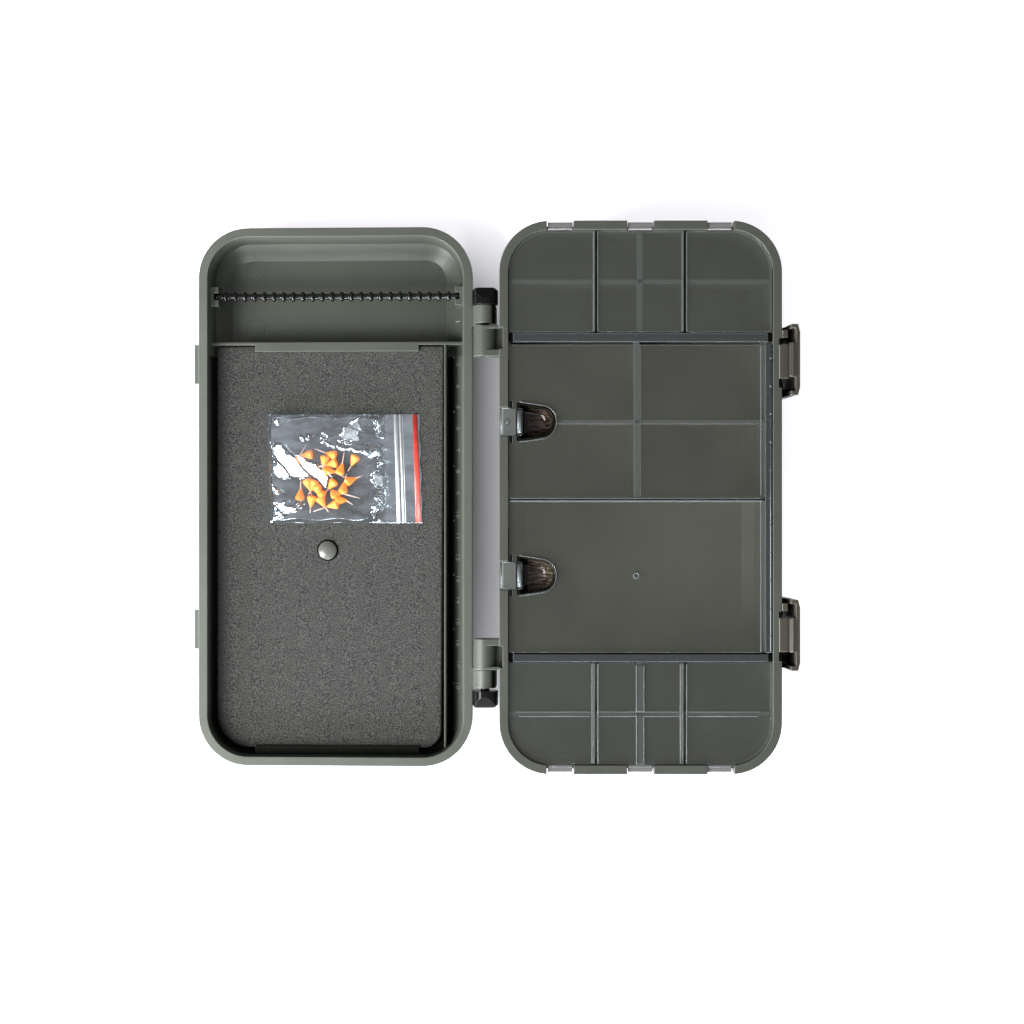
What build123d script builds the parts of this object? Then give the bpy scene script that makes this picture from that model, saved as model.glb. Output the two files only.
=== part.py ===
"""Rig box: a moulded case with a hinged lid, two side latches and clear compartment flaps.

Millimetres, +Z up. The origin is the middle of the base's underside, +X points to the
latches and +Y to the end with the hook rail. The model stands open, as the box lies on
a table: the lid is turned right over on its hinge and rests on its own top edge.
Lid pieces are drawn shut, over the base, and then swung open together.
"""

from build123d import *
import os
from math import asin, atan, atan2, cos, degrees, hypot, pi, radians, sin, tan

os.makedirs("parts", exist_ok=True)

# Case
CASE_WIDTH = 126.6
CASE_LENGTH = 248.0
CORNER_RADIUS = 23.0
BASE_HEIGHT = 46.0
LID_HEIGHT = 20.0
RIM_WIDTH = 4.0
RIM_GAP = 0.2  # between the rims when the box is shut
BAND_OVERHANG = 2.4  # the band round each rim stands out from the wall by this
BASE_BAND_HEIGHT = 8.0
LID_BAND_HEIGHT = 7.0
BAND_BEVEL = 1.2
EDGE_BEVEL = 8.0  # round the base's underside and the lid's top
BASE_FLOOR = 2.2
LID_ROOF = 2.4

# Compartments of the base
FLAP_RECESS = 2.0  # depth of the seat for the flaps, below the rim
LEDGE_WIDTH = 1.0
CELL_BEVEL = 7.5
DIVIDER = 1.8
END_WALL_Y = 71.7  # walls between the end compartments and the middle
END_WALL = 2.6
END_RIB_Y = 97.0
END_SLIT_X = 19.9
SPLIT_Y = -0.8  # wall between the two middle bays
MIDDLE_RIB_X = -1.5
SOCKET_DEPTH = 4.0

# Clear flaps and their hinge strips
FLAP_THICKNESS = 1.2
FLAP_CLEARANCE = 0.5
FLAP_LIFT = 0.05  # running clearance under a flap
HINGE_CLEARANCE = 0.2  # between a flap's edge and its hinge line
SLIT_WIDTH = 1.0
SLIT_DROP = 7.0  # the dividers under the slits are lower by this
END_HINGE_Y = 73.9
END_STRIP_WIDTH = 4.0
END_STRIP_REACH = 57.1
SIDE_HINGE_X = 55.8
SIDE_STRIP_WIDTH = 3.1
UPPER_FLAP_Y = (-0.6, 68.5)
LOWER_FLAP_Y = (-69.5, -1.1)
UPPER_TAB_Y = 33.95
LOWER_TAB_Y = -35.0
FLAP_CORNER = 1.5
TAB_SPACING = 36.0
TAB_WIDTH = 11.2
TAB_NOTCH_CLEARANCE = 0.4
TAB_LIP = 1.1
TAB_LIP_DROP = 3.6
TAB_END_MARGIN = 0.6  # tabs stop short of the outside by this
SIDE_TAB_WIDTH = 12.3
SIDE_TAB_INNER_X = -52.9
SIDE_TAB_RELIEF = 9.6
SIDE_TAB_RELIEF_DEPTH = 1.3

# Finger scoops in the middle flaps
SCOOP_LEFT_X = -55.6
SCOOP_SHOULDER_X = -44.5
SCOOP_TIP_X = -38.1
SCOOP_HALF = 8.8
SCOOP_SHOULDER_HALF = 7.0
SCOOP_TIP_RUNS = 10
SCOOP_DEPTH = 8.5
SCOOP_WALL = 0.9
SCOOP_TAPER = 14.0
SCOOP_FIT = 0.1  # beside the tab
SCOOP_CLEARANCE = 1.5

# Lid hinge
HINGE_OFFSET = 6.5  # from the outside of the band to the pin
HINGE_DROP = 10.5  # from the base's rim down to the pin
HINGE_PLAY = 0.5  # the lid lies at the +Y end of its play along the pins
BASE_BARREL_R = 5.3
LID_BARREL_R = 4.8
BASE_BARREL_Y = 63.9
BASE_BARREL_LENGTH = 13.8
LID_BARREL_Y = 78.4
LID_BARREL_LENGTH = 8.2
BARREL_POCKET = 1.5
BARREL_ARM = 2.8
BARREL_OUTER_ARM = 1.4
WEB_HEIGHT = 6.3
HINGE_PIN_R = 2.0
HINGE_PIN_FIT = 0.06
HEAD_R = 5.9
HEAD_Y = 87.3
HEAD_LENGTH = 7.6
HEAD_ROUND = 1.2
HEAD_FACET_LENGTH = 4.9
HEAD_FACET_DEPTH = 2.6

# Latches
LATCH_Y = 61.2
LATCH_WIDTH = 31.5
LATCH_PIN_Z = 17.0
LATCH_PIN_R = 1.0
LATCH_EAR_R = 2.0
LATCH_EAR_CLEARANCE = 0.2
LATCH_EAR = 3.0
LATCH_PLATE = 1.8
LATCH_CHEEK = 1.8
LATCH_CORNER = 3.5
LATCH_CORNER_DEPTH = 0.9
LATCH_HOOK_WIDTH = 15.0
LATCH_HOOK_HEIGHT = 3.6
LATCH_HOOK_REACH = 1.6  # over the lid's catch
LATCH_TILT = 3.3  # the latches stand this far open
CATCH_WIDTH = 18.1
CATCH_DEPTH = 2.0
CATCH_HEIGHT = 3.8
CATCH_CLEARANCE = 0.2
PAD_CLEARANCE = 0.3  # behind the shut latch

# Inside of the lid
LID_DRAFT = 9.0
SLOPE_RUN = 7.0
SLOPE_HEIGHT = 6.1
CROSS_WALL_Y = 71.2
CROSS_WALL = 1.3
BAY_WALL_DEPTH = 6.4  # from the rim down to the bay walls' tops
BAY_RIB_X = -50.4
BAY_RIB = 1.0
LIP_HALF = 38.1
LIP_REACH = 3.0
LIP_THICKNESS = 1.0
FOAM_THICKNESS = 9.6
FOAM_GAP = 0.3
FOAM_INSET = 7.4  # from the outside of the lid
FOAM_LOWER_BEVEL = 5.4
RIVET_X = 4.5
RIVET_Y = -24.8
RIVET_R = 4.7
RIVET_RISE = 1.7

# Hook rail
RAIL_Y = 93.0
RAIL_DEPTH = 7.0
RAIL_R = 1.5
RAIL_FIT = 0.1
RAIL_SIDES = 8
KNOT_R = 2.35
KNOT_LENGTH = 1.8
KNOT_PITCH = 4.52
KNOT_COUNT = 24
BRACKET_WIDTH = 8.8
BRACKET_REACH = 55.0
BRACKET_RISE = 2.6

# Bag of foam pins
BAG_LENGTH = 70.8
BAG_WIDTH = 50.2
BAG_THICKNESS = 5.6
BAG_FILM = 0.3
BAG_SEAM = 3.0
BAG_X = -4.0
BAG_Y = 12.6
BAG_TURN = 1.9
PILLOW_CORNER = 7.0
PIN_ROOM_X = 34.0
PIN_ROOM_Y = 31.0
ZIP_WIDTH = 3.2
ZIP_X = -24.6  # from the bag's middle
STRIPE_WIDTH = 1.6
STRIPE_X = -33.7
STRIP_THICKNESS = 0.4
PIN_HEAD_R = 2.3
PIN_HEAD_LENGTH = 4.6
PIN_TIP_R = 0.3
PIN_SIDES = 8
PIN_SHAFT_R = 0.35
PIN_SHAFT_LENGTH = 5.5
PIN_PITCH = 2.75
PIN_ROWS = 10
PIN_COLUMNS = 2
PIN_CLUSTER_X = 4.3
PIN_CLUSTER_Y = 8.2

# Worked out from the sizes above
HALF_X = CASE_WIDTH / 2
HALF_Y = CASE_LENGTH / 2
WALL_X = HALF_X - BAND_OVERHANG
WALL_Y = HALF_Y - BAND_OVERHANG
WALL_R = CORNER_RADIUS - BAND_OVERHANG
SEAT_X = HALF_X - RIM_WIDTH
SEAT_Y = HALF_Y - RIM_WIDTH
SEAT_R = CORNER_RADIUS - RIM_WIDTH
SEAT_Z = BASE_HEIGHT - FLAP_RECESS
CELL_X = SEAT_X - LEDGE_WIDTH
CELL_Y = SEAT_Y - LEDGE_WIDTH
CELL_R = SEAT_R - LEDGE_WIDTH
FLAP_Z = SEAT_Z + FLAP_LIFT
FLAP_TOP = FLAP_Z + FLAP_THICKNESS
BAND_Z = BASE_HEIGHT - BASE_BAND_HEIGHT
LID_Z = BASE_HEIGHT + RIM_GAP
LID_TOP = LID_Z + LID_HEIGHT
LID_CEILING = LID_TOP - LID_ROOF
SLOPE_Z = LID_CEILING - SLOPE_HEIGHT
BAY_Z = LID_Z + BAY_WALL_DEPTH
FOAM_Z = BAY_Z + LIP_THICKNESS + RIM_GAP
PIN_X = -HALF_X - HINGE_OFFSET
PIN_Z = BASE_HEIGHT - HINGE_DROP
LATCH_X = HALF_X + CATCH_DEPTH - LATCH_HOOK_REACH  # hook's tip when latched
LATCH_INNER_X = LATCH_X + 2.6
LATCH_OUTER_X = LATCH_INNER_X + LATCH_PLATE
LATCH_PIN_X = LATCH_INNER_X - LATCH_EAR_R - LATCH_EAR_CLEARANCE
LATCH_HOOK_Z = LID_Z + CATCH_CLEARANCE + CATCH_HEIGHT + CATCH_CLEARANCE
LATCH_TOP = LATCH_HOOK_Z + LATCH_HOOK_HEIGHT

# The lid lies on the edge of its top, so it opens a little past flat
EDGE_REACH = WALL_X - EDGE_BEVEL - PIN_X
EDGE_RISE = LID_TOP - PIN_Z
LID_SAG = degrees(asin(PIN_Z / hypot(EDGE_REACH, EDGE_RISE)) - atan2(EDGE_RISE, EDGE_REACH))
LID_SWING = 180 + LID_SAG
HINGE_AXIS = Axis((PIN_X, 0, PIN_Z), (0, 1, 0))
LATCH_AXIS = Axis((LATCH_PIN_X, 0, LATCH_PIN_Z), (0, 1, 0))


def y_plane(y):
    """A plane across the box at y; a sketch on it extrudes towards -Y."""
    return Plane.XZ.offset(-y)


def rounded_block(half_x, half_y, radius, z_low, z_high, foot=0.0, head=0.0):
    """A block with rounded corners, bevelled round its foot or its head."""
    with BuildPart() as block:
        with BuildSketch(Plane.XY.offset(z_low)):
            RectangleRounded(2 * half_x, 2 * half_y, radius)
        extrude(amount=z_high - z_low)
        if foot:
            chamfer(block.edges().group_by(Axis.Z)[0], foot)
        if head:
            chamfer(block.edges().group_by(Axis.Z)[-1], head)
    return block.part


def plain_block(x_low, x_high, y_low, y_high, z_low, z_high):
    """A square block between two corners."""
    with BuildPart() as block:
        with BuildSketch(Plane.XY.offset(z_low)):
            with Locations(((x_low + x_high) / 2, (y_low + y_high) / 2)):
                Rectangle(x_high - x_low, y_high - y_low)
        extrude(amount=z_high - z_low)
    return block.part


def save(part, name):
    """Label a finished piece and write its file."""
    part.label = name
    export_step(part, f"parts/{name}.step")


def save_lid_piece(part, name):
    """Swing a piece drawn shut to the open lid, and write it."""
    shifted = part.moved(Location((0, HINGE_PLAY, 0)))
    save(shifted.rotate(HINGE_AXIS, -LID_SWING), name)


def flat_sided(low_points, high_points):
    """A solid between two rings of as many corners, its sides in flat triangles."""
    sides = []
    for index, low in enumerate(low_points):
        after = (index + 1) % len(low_points)
        sides.append(Face(Wire.make_polygon([low, low_points[after], high_points[after]])))
        sides.append(Face(Wire.make_polygon([low, high_points[after], high_points[index]])))
    ends = [Face(Wire.make_polygon(low_points)), Face(Wire.make_polygon(high_points))]
    return Solid(Shell(sides + ends))


def scoop_corners(shrink):
    """Corners of a finger scoop's outline about y = 0, drawn in by shrink: straight at
    the rim's side, narrowing to a tip that is half an ellipse in short straight runs."""
    left = SCOOP_LEFT_X + shrink
    wide = SCOOP_HALF - shrink
    narrow = SCOOP_SHOULDER_HALF - shrink
    reach = SCOOP_TIP_X - shrink - SCOOP_SHOULDER_X
    turns = [180 * step / SCOOP_TIP_RUNS - 90 for step in range(SCOOP_TIP_RUNS + 1)]
    tip = [(SCOOP_SHOULDER_X + reach * cos(radians(t)), narrow * sin(radians(t))) for t in turns]
    return [(left, wide), (left, -wide), *tip]


def scoop_outline(shrink):
    """The face inside a finger scoop's outline."""
    with BuildSketch() as outline:
        with BuildLine():
            Polyline(*scoop_corners(shrink), close=True)
        make_face()
    return outline.sketch


# Hollow of the base, cut into its compartments
with BuildPart() as cells:
    add(rounded_block(CELL_X, CELL_Y, CELL_R, BASE_FLOOR, SEAT_Z, foot=CELL_BEVEL))
    with BuildSketch(Plane.XY.offset(BASE_FLOOR)):
        with Locations((0, END_WALL_Y), (0, -END_WALL_Y)):
            Rectangle(2 * SEAT_X, END_WALL)
        with Locations((0, END_RIB_Y), (0, -END_RIB_Y)):
            Rectangle(2 * SEAT_X, DIVIDER)
        end_middle = (END_WALL_Y + SEAT_Y) / 2
        for side in (1, -1):
            with Locations(*[(x, side * end_middle) for x in (-END_SLIT_X, 0, END_SLIT_X)]):
                Rectangle(DIVIDER, SEAT_Y - END_WALL_Y)
        with Locations((0, SPLIT_Y)):
            Rectangle(2 * SEAT_X, END_WALL)
        with Locations(((SIDE_HINGE_X + SEAT_X) / 2, 0)):
            Rectangle(SEAT_X - SIDE_HINGE_X, 2 * END_WALL_Y)
        with Locations((MIDDLE_RIB_X, (SPLIT_Y + END_WALL_Y) / 2)):
            Rectangle(DIVIDER, END_WALL_Y - SPLIT_Y)
        with Locations((0, UPPER_TAB_Y)):
            Rectangle(2 * SEAT_X, DIVIDER)
    extrude(amount=SEAT_Z - BASE_FLOOR, mode=Mode.SUBTRACT)
    # Dividers under the slits between the end flaps are lower
    for x in (-END_SLIT_X, END_SLIT_X):
        for y_low, y_high in ((END_WALL_Y + END_WALL / 2, CELL_Y), (-CELL_Y, -END_WALL_Y - END_WALL / 2)):
            add(plain_block(x - DIVIDER / 2, x + DIVIDER / 2, y_low, y_high, SEAT_Z - SLIT_DROP, SEAT_Z))
    # The upper bay's cross divider is cut away under its finger scoop
    scoop_room = SEAT_Z - SCOOP_DEPTH - SCOOP_CLEARANCE
    add(plain_block(-CELL_X, SCOOP_TIP_X + SCOOP_CLEARANCE, UPPER_TAB_Y - DIVIDER, UPPER_TAB_Y + DIVIDER,
                    scoop_room, SEAT_Z))
    # Sockets at the ends of the end strips
    for x in (END_STRIP_REACH, -CELL_X):
        for side in (1, -1):
            y_near, y_far = sorted((side * (END_WALL_Y - END_WALL / 2), side * (END_WALL_Y + END_WALL / 2)))
            add(plain_block(x, x + CELL_X - END_STRIP_REACH, y_near, y_far, SEAT_Z - SOCKET_DEPTH, SEAT_Z))

# Base
with BuildPart() as base_shell:
    add(rounded_block(WALL_X, WALL_Y, WALL_R, 0, BAND_Z + BAND_BEVEL, foot=EDGE_BEVEL))
    add(rounded_block(HALF_X, HALF_Y, CORNER_RADIUS, BAND_Z, BASE_HEIGHT, foot=BAND_BEVEL))
    add(cells.part, mode=Mode.SUBTRACT)
    add(rounded_block(SEAT_X, SEAT_Y, SEAT_R, SEAT_Z, BASE_HEIGHT), mode=Mode.SUBTRACT)
    # Notches for the end flaps' snap tabs, open to the outside
    notch_half = TAB_WIDTH / 2 + TAB_NOTCH_CLEARANCE
    for x in (-TAB_SPACING, 0, TAB_SPACING):
        for side in (1, -1):
            y_seat, y_rim = sorted((side * (SEAT_Y - 1), side * (HALF_Y + 1)))
            add(plain_block(x - notch_half, x + notch_half, y_seat, y_rim, SEAT_Z, BASE_HEIGHT),
                mode=Mode.SUBTRACT)
            y_wall, y_rim = sorted((side * WALL_Y, side * (HALF_Y + 1)))
            add(plain_block(x - notch_half, x + notch_half, y_wall, y_rim, BAND_Z - 1, BASE_HEIGHT),
                mode=Mode.SUBTRACT)
    # Notches in the hinge side's rim for the middle flaps' tabs
    side_notch = SIDE_TAB_WIDTH / 2 + TAB_NOTCH_CLEARANCE
    for y in (UPPER_TAB_Y, LOWER_TAB_Y):
        add(plain_block(-HALF_X - 1, -SEAT_X + 1, y - side_notch, y + side_notch, SEAT_Z, BASE_HEIGHT),
            mode=Mode.SUBTRACT)
    for side in (1, -1):
        # Hinge barrel on its web, with an arm at each end
        barrel_far = BASE_BARREL_Y + BASE_BARREL_LENGTH
        y_start = barrel_far if side > 0 else -BASE_BARREL_Y
        with BuildSketch(y_plane(y_start)):
            with Locations((PIN_X, PIN_Z)):
                Circle(BASE_BARREL_R)
            with Locations(((PIN_X - WALL_X) / 2, PIN_Z - BASE_BARREL_R + WEB_HEIGHT / 2)):
                Rectangle(-WALL_X - PIN_X, WEB_HEIGHT)
        extrude(amount=BASE_BARREL_LENGTH)
        inner_end = BASE_BARREL_Y + BARREL_ARM
        outer_start = barrel_far - BARREL_OUTER_ARM
        for near, far in ((BASE_BARREL_Y, inner_end), (outer_start, barrel_far)):
            y_low, y_high = sorted((side * near, side * far))
            add(plain_block(PIN_X, -HALF_X + 1, y_low, y_high, PIN_Z, PIN_Z + BASE_BARREL_R))
        # Pocket cut into the band behind the barrel
        y_low, y_high = sorted((side * inner_end, side * outer_start))
        pocket_z = PIN_Z - BASE_BARREL_R + WEB_HEIGHT
        add(plain_block(-HALF_X - 1, -HALF_X + BARREL_POCKET, y_low, y_high, pocket_z, BASE_HEIGHT),
            mode=Mode.SUBTRACT)
        with BuildSketch(y_plane(y_start)):
            with Locations((PIN_X, PIN_Z)):
                Circle(HINGE_PIN_R)
        extrude(amount=BASE_BARREL_LENGTH, mode=Mode.SUBTRACT)
        # Pad behind the latch, and the latch's two ears
        pad_low = side * LATCH_Y - LATCH_HOOK_WIDTH / 2
        add(plain_block(HALF_X - 1, LATCH_INNER_X - PAD_CLEARANCE, pad_low, pad_low + LATCH_HOOK_WIDTH,
                        BAND_Z + BAND_BEVEL, BASE_HEIGHT))
        for hand in (1, -1):
            ear_outer = LATCH_WIDTH / 2 - LATCH_CHEEK - LATCH_EAR_CLEARANCE
            ear_middle = side * LATCH_Y + hand * (ear_outer - LATCH_EAR / 2)
            with BuildSketch(y_plane(ear_middle + LATCH_EAR / 2)):
                with BuildLine():
                    wall = WALL_X - 0.5
                    Polyline(
                        (wall, LATCH_PIN_Z - LATCH_EAR_R - 1),
                        (LATCH_PIN_X, LATCH_PIN_Z - LATCH_EAR_R),
                        (LATCH_PIN_X, LATCH_PIN_Z + LATCH_EAR_R),
                        (wall, LATCH_PIN_Z + LATCH_EAR_R + 1),
                        close=True,
                    )
                make_face()
                with Locations((LATCH_PIN_X, LATCH_PIN_Z)):
                    Circle(LATCH_EAR_R)
                    Circle(LATCH_PIN_R, mode=Mode.SUBTRACT)
            extrude(amount=LATCH_EAR)
save(base_shell.part, "base_shell")

# Pins of the lid hinge: a shaft through the lid's barrel into the base's, with a round
# head whose outer end is cut off flat on top
for side, name in ((1, "hinge_pin_upper"), (-1, "hinge_pin_lower")):
    with BuildPart() as hinge_pin:
        head_end = HEAD_Y + HEAD_LENGTH
        with BuildSketch(y_plane(head_end)):
            with Locations((PIN_X, PIN_Z)):
                Circle(HEAD_R)
        extrude(amount=HEAD_LENGTH)
        chamfer(hinge_pin.edges().group_by(Axis.Y)[-1], HEAD_ROUND)
        with BuildSketch(Plane.YZ.offset(PIN_X - HEAD_R - 1)):
            with BuildLine():
                Polyline(
                    (head_end + 1, PIN_Z + HEAD_R + 1),
                    (head_end - HEAD_FACET_LENGTH, PIN_Z + HEAD_R + 1),
                    (head_end - HEAD_FACET_LENGTH, PIN_Z + HEAD_R),
                    (head_end, PIN_Z + HEAD_R - HEAD_FACET_DEPTH),
                    (head_end + 1, PIN_Z + HEAD_R - HEAD_FACET_DEPTH),
                    close=True,
                )
            make_face()
        extrude(amount=2 * HEAD_R + 2, mode=Mode.SUBTRACT)
        with BuildSketch(y_plane(HEAD_Y)):
            with Locations((PIN_X, PIN_Z)):
                Circle(HINGE_PIN_R)
        extrude(amount=HEAD_Y - BASE_BARREL_Y - BARREL_ARM)
        if side < 0:
            mirror(about=Plane.XZ, mode=Mode.REPLACE)
    save(hinge_pin.part, name)


def latch(y_middle):
    """A latch, drawn shut: plate with bevelled ends, two cheeks on the pin, and a hook."""
    half = LATCH_WIDTH / 2
    with BuildPart() as piece:
        with BuildSketch(Plane.XY.offset(LATCH_PIN_Z - LATCH_EAR_R)):
            with BuildLine():
                Polyline(
                    (LATCH_INNER_X, y_middle - half),
                    (LATCH_OUTER_X - LATCH_CORNER_DEPTH, y_middle - half),
                    (LATCH_OUTER_X, y_middle - half + LATCH_CORNER),
                    (LATCH_OUTER_X, y_middle + half - LATCH_CORNER),
                    (LATCH_OUTER_X - LATCH_CORNER_DEPTH, y_middle + half),
                    (LATCH_INNER_X, y_middle + half),
                    close=True,
                )
            make_face()
        extrude(amount=LATCH_TOP - LATCH_PIN_Z + LATCH_EAR_R)
        for y_start in (y_middle + half, y_middle - half + LATCH_CHEEK):
            with BuildSketch(y_plane(y_start)):
                with BuildLine():
                    Polyline(
                        (LATCH_PIN_X - LATCH_EAR_R, LATCH_PIN_Z),
                        (LATCH_PIN_X - LATCH_EAR_R, BAND_Z - 6),
                        (LATCH_X + 0.6, BAND_Z),
                        (LATCH_X + 0.6, LATCH_TOP),
                        (LATCH_INNER_X, LATCH_TOP),
                        (LATCH_INNER_X, LATCH_PIN_Z - LATCH_EAR_R),
                        (LATCH_PIN_X, LATCH_PIN_Z - LATCH_EAR_R),
                        (LATCH_PIN_X, LATCH_PIN_Z),
                        close=True,
                    )
                make_face()
                with Locations((LATCH_PIN_X, LATCH_PIN_Z)):
                    Circle(LATCH_EAR_R)
                    Circle(LATCH_PIN_R + HINGE_PIN_FIT, mode=Mode.SUBTRACT)
            extrude(amount=LATCH_CHEEK)
        with BuildSketch(y_plane(y_middle + LATCH_HOOK_WIDTH / 2)):
            with BuildLine():
                Polyline(
                    (LATCH_INNER_X, LATCH_HOOK_Z),
                    (LATCH_X, LATCH_HOOK_Z),
                    (LATCH_X, LATCH_TOP - 1.2),
                    (LATCH_X + 1.2, LATCH_TOP),
                    (LATCH_INNER_X, LATCH_TOP),
                    close=True,
                )
            make_face()
        extrude(amount=LATCH_HOOK_WIDTH)
    return piece.part.rotate(LATCH_AXIS, LATCH_TILT)


for side, place in ((1, "upper"), (-1, "lower")):
    save(latch(side * LATCH_Y), f"latch_{place}")
    with BuildPart() as latch_pin:
        with BuildSketch(y_plane(side * LATCH_Y + LATCH_WIDTH / 2)):
            with Locations((LATCH_PIN_X, LATCH_PIN_Z)):
                Circle(LATCH_PIN_R)
        extrude(amount=LATCH_WIDTH)
    save(latch_pin.part, f"latch_pin_{place}")


def end_flap(x_low, x_high, tab_x, side):
    """A clear flap over an end's compartments, with a snap tab that drops over the rim."""
    y_hinge = END_HINGE_Y + HINGE_CLEARANCE
    y_far = SEAT_Y - FLAP_CLEARANCE
    with BuildPart() as flap:
        with BuildSketch(Plane.XY.offset(FLAP_Z)):
            RectangleRounded(2 * (SEAT_X - FLAP_CLEARANCE), 2 * y_far, SEAT_R - FLAP_CLEARANCE)
            with Locations(((x_low + x_high) / 2, (y_hinge + y_far) / 2)):
                Rectangle(x_high - x_low, y_far - y_hinge, mode=Mode.INTERSECT)
        extrude(amount=FLAP_THICKNESS)
        hinge_corners = flap.edges().filter_by(Axis.Z).group_by(Axis.Y)[0]
        fillet(hinge_corners, FLAP_CORNER)
        tab_end = HALF_Y - TAB_END_MARGIN
        add(plain_block(tab_x - TAB_WIDTH / 2, tab_x + TAB_WIDTH / 2, y_far - 2, tab_end, FLAP_Z, FLAP_TOP))
        add(plain_block(tab_x - TAB_WIDTH / 2, tab_x + TAB_WIDTH / 2, tab_end - TAB_LIP, tab_end,
                        FLAP_Z - TAB_LIP_DROP, FLAP_TOP))
        if side < 0:
            mirror(about=Plane.XZ, mode=Mode.REPLACE)
    return flap.part


def middle_flap(reach, tab_y):
    """A clear flap over one middle bay, with a finger hole and a tab over the rim."""
    x_low = -SEAT_X + FLAP_CLEARANCE
    x_high = SIDE_HINGE_X - HINGE_CLEARANCE
    y_low, y_high = reach
    with BuildPart() as flap:
        with BuildSketch(Plane.XY.offset(FLAP_Z)):
            with Locations(((x_low + x_high) / 2, (y_low + y_high) / 2)):
                RectangleRounded(x_high - x_low, y_high - y_low, FLAP_CORNER)
            with Locations((x_low, tab_y)):
                Rectangle(2 * SIDE_TAB_RELIEF_DEPTH, 2 * SIDE_TAB_RELIEF, mode=Mode.SUBTRACT)
            add(scoop_outline(0.0).moved(Location((0, tab_y, 0))), mode=Mode.SUBTRACT)
        extrude(amount=FLAP_THICKNESS)
        tab_end = -HALF_X + TAB_END_MARGIN
        with BuildSketch(Plane.XY.offset(FLAP_Z)):
            with Locations(((tab_end + SIDE_TAB_INNER_X) / 2, tab_y)):
                RectangleRounded(SIDE_TAB_INNER_X - tab_end, SIDE_TAB_WIDTH, FLAP_CORNER / 2)
        extrude(amount=FLAP_THICKNESS)
    return flap.part


def finger_scoop(tab_y):
    """A dark cup: its mouth fills a flap's finger hole, its walls slope in below."""
    mouth = scoop_outline(0.0).moved(Location((0, tab_y, 0)))
    inside = scoop_outline(SCOOP_WALL).moved(Location((0, tab_y, 0)))
    with BuildPart() as scoop:
        with BuildSketch(Plane.XY.offset(FLAP_Z)):
            add(mouth)
        extrude(amount=FLAP_THICKNESS)
        for shrink, depth, mode in ((0.0, SCOOP_DEPTH, Mode.ADD),
                                    (SCOOP_WALL, SCOOP_DEPTH - SCOOP_WALL, Mode.SUBTRACT)):
            foot = shrink + depth * tan(radians(SCOOP_TAPER))
            low_points = [(x, tab_y + y, FLAP_Z - depth) for x, y in scoop_corners(foot)]
            high_points = [(x, tab_y + y, FLAP_Z) for x, y in scoop_corners(shrink)]
            add(flat_sided(low_points, high_points), mode=mode)
        with BuildSketch(Plane.XY.offset(FLAP_Z)):
            add(inside)
            with Locations((SIDE_TAB_INNER_X - SCOOP_HALF, tab_y)):
                Rectangle(2 * SCOOP_HALF, SIDE_TAB_WIDTH + 2 * SCOOP_FIT)
        extrude(amount=FLAP_THICKNESS, mode=Mode.SUBTRACT)
    return scoop.part


# Clear flaps over the end compartments
slit = SLIT_WIDTH / 2
flap_far = SEAT_X - FLAP_CLEARANCE
for side, place in ((1, "upper"), (-1, "lower")):
    save(end_flap(-flap_far, -END_SLIT_X - slit, -TAB_SPACING, side), f"{place}_flap_left")
    save(end_flap(-END_SLIT_X + slit, END_SLIT_X - slit, 0, side), f"{place}_flap_middle")
    save(end_flap(END_SLIT_X + slit, flap_far, TAB_SPACING, side), f"{place}_flap_right")
    strip_far = END_HINGE_Y - HINGE_CLEARANCE
    y_low, y_high = sorted((side * (strip_far - END_STRIP_WIDTH), side * strip_far))
    save(plain_block(-END_STRIP_REACH, END_STRIP_REACH, y_low, y_high, SEAT_Z, FLAP_TOP),
         f"{place}_hinge_strip")

# Clear flaps over the middle bays
save(middle_flap(UPPER_FLAP_Y, UPPER_TAB_Y), "large_flap_upper")
save(middle_flap(LOWER_FLAP_Y, LOWER_TAB_Y), "large_flap_lower")
save(finger_scoop(UPPER_TAB_Y), "finger_scoop_upper")
save(finger_scoop(LOWER_TAB_Y), "finger_scoop_lower")
side_strip_x = SIDE_HINGE_X + HINGE_CLEARANCE
save(plain_block(side_strip_x, side_strip_x + SIDE_STRIP_WIDTH, LOWER_FLAP_Y[0], UPPER_FLAP_Y[1],
                 SEAT_Z, FLAP_TOP), "side_hinge_strip")


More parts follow.
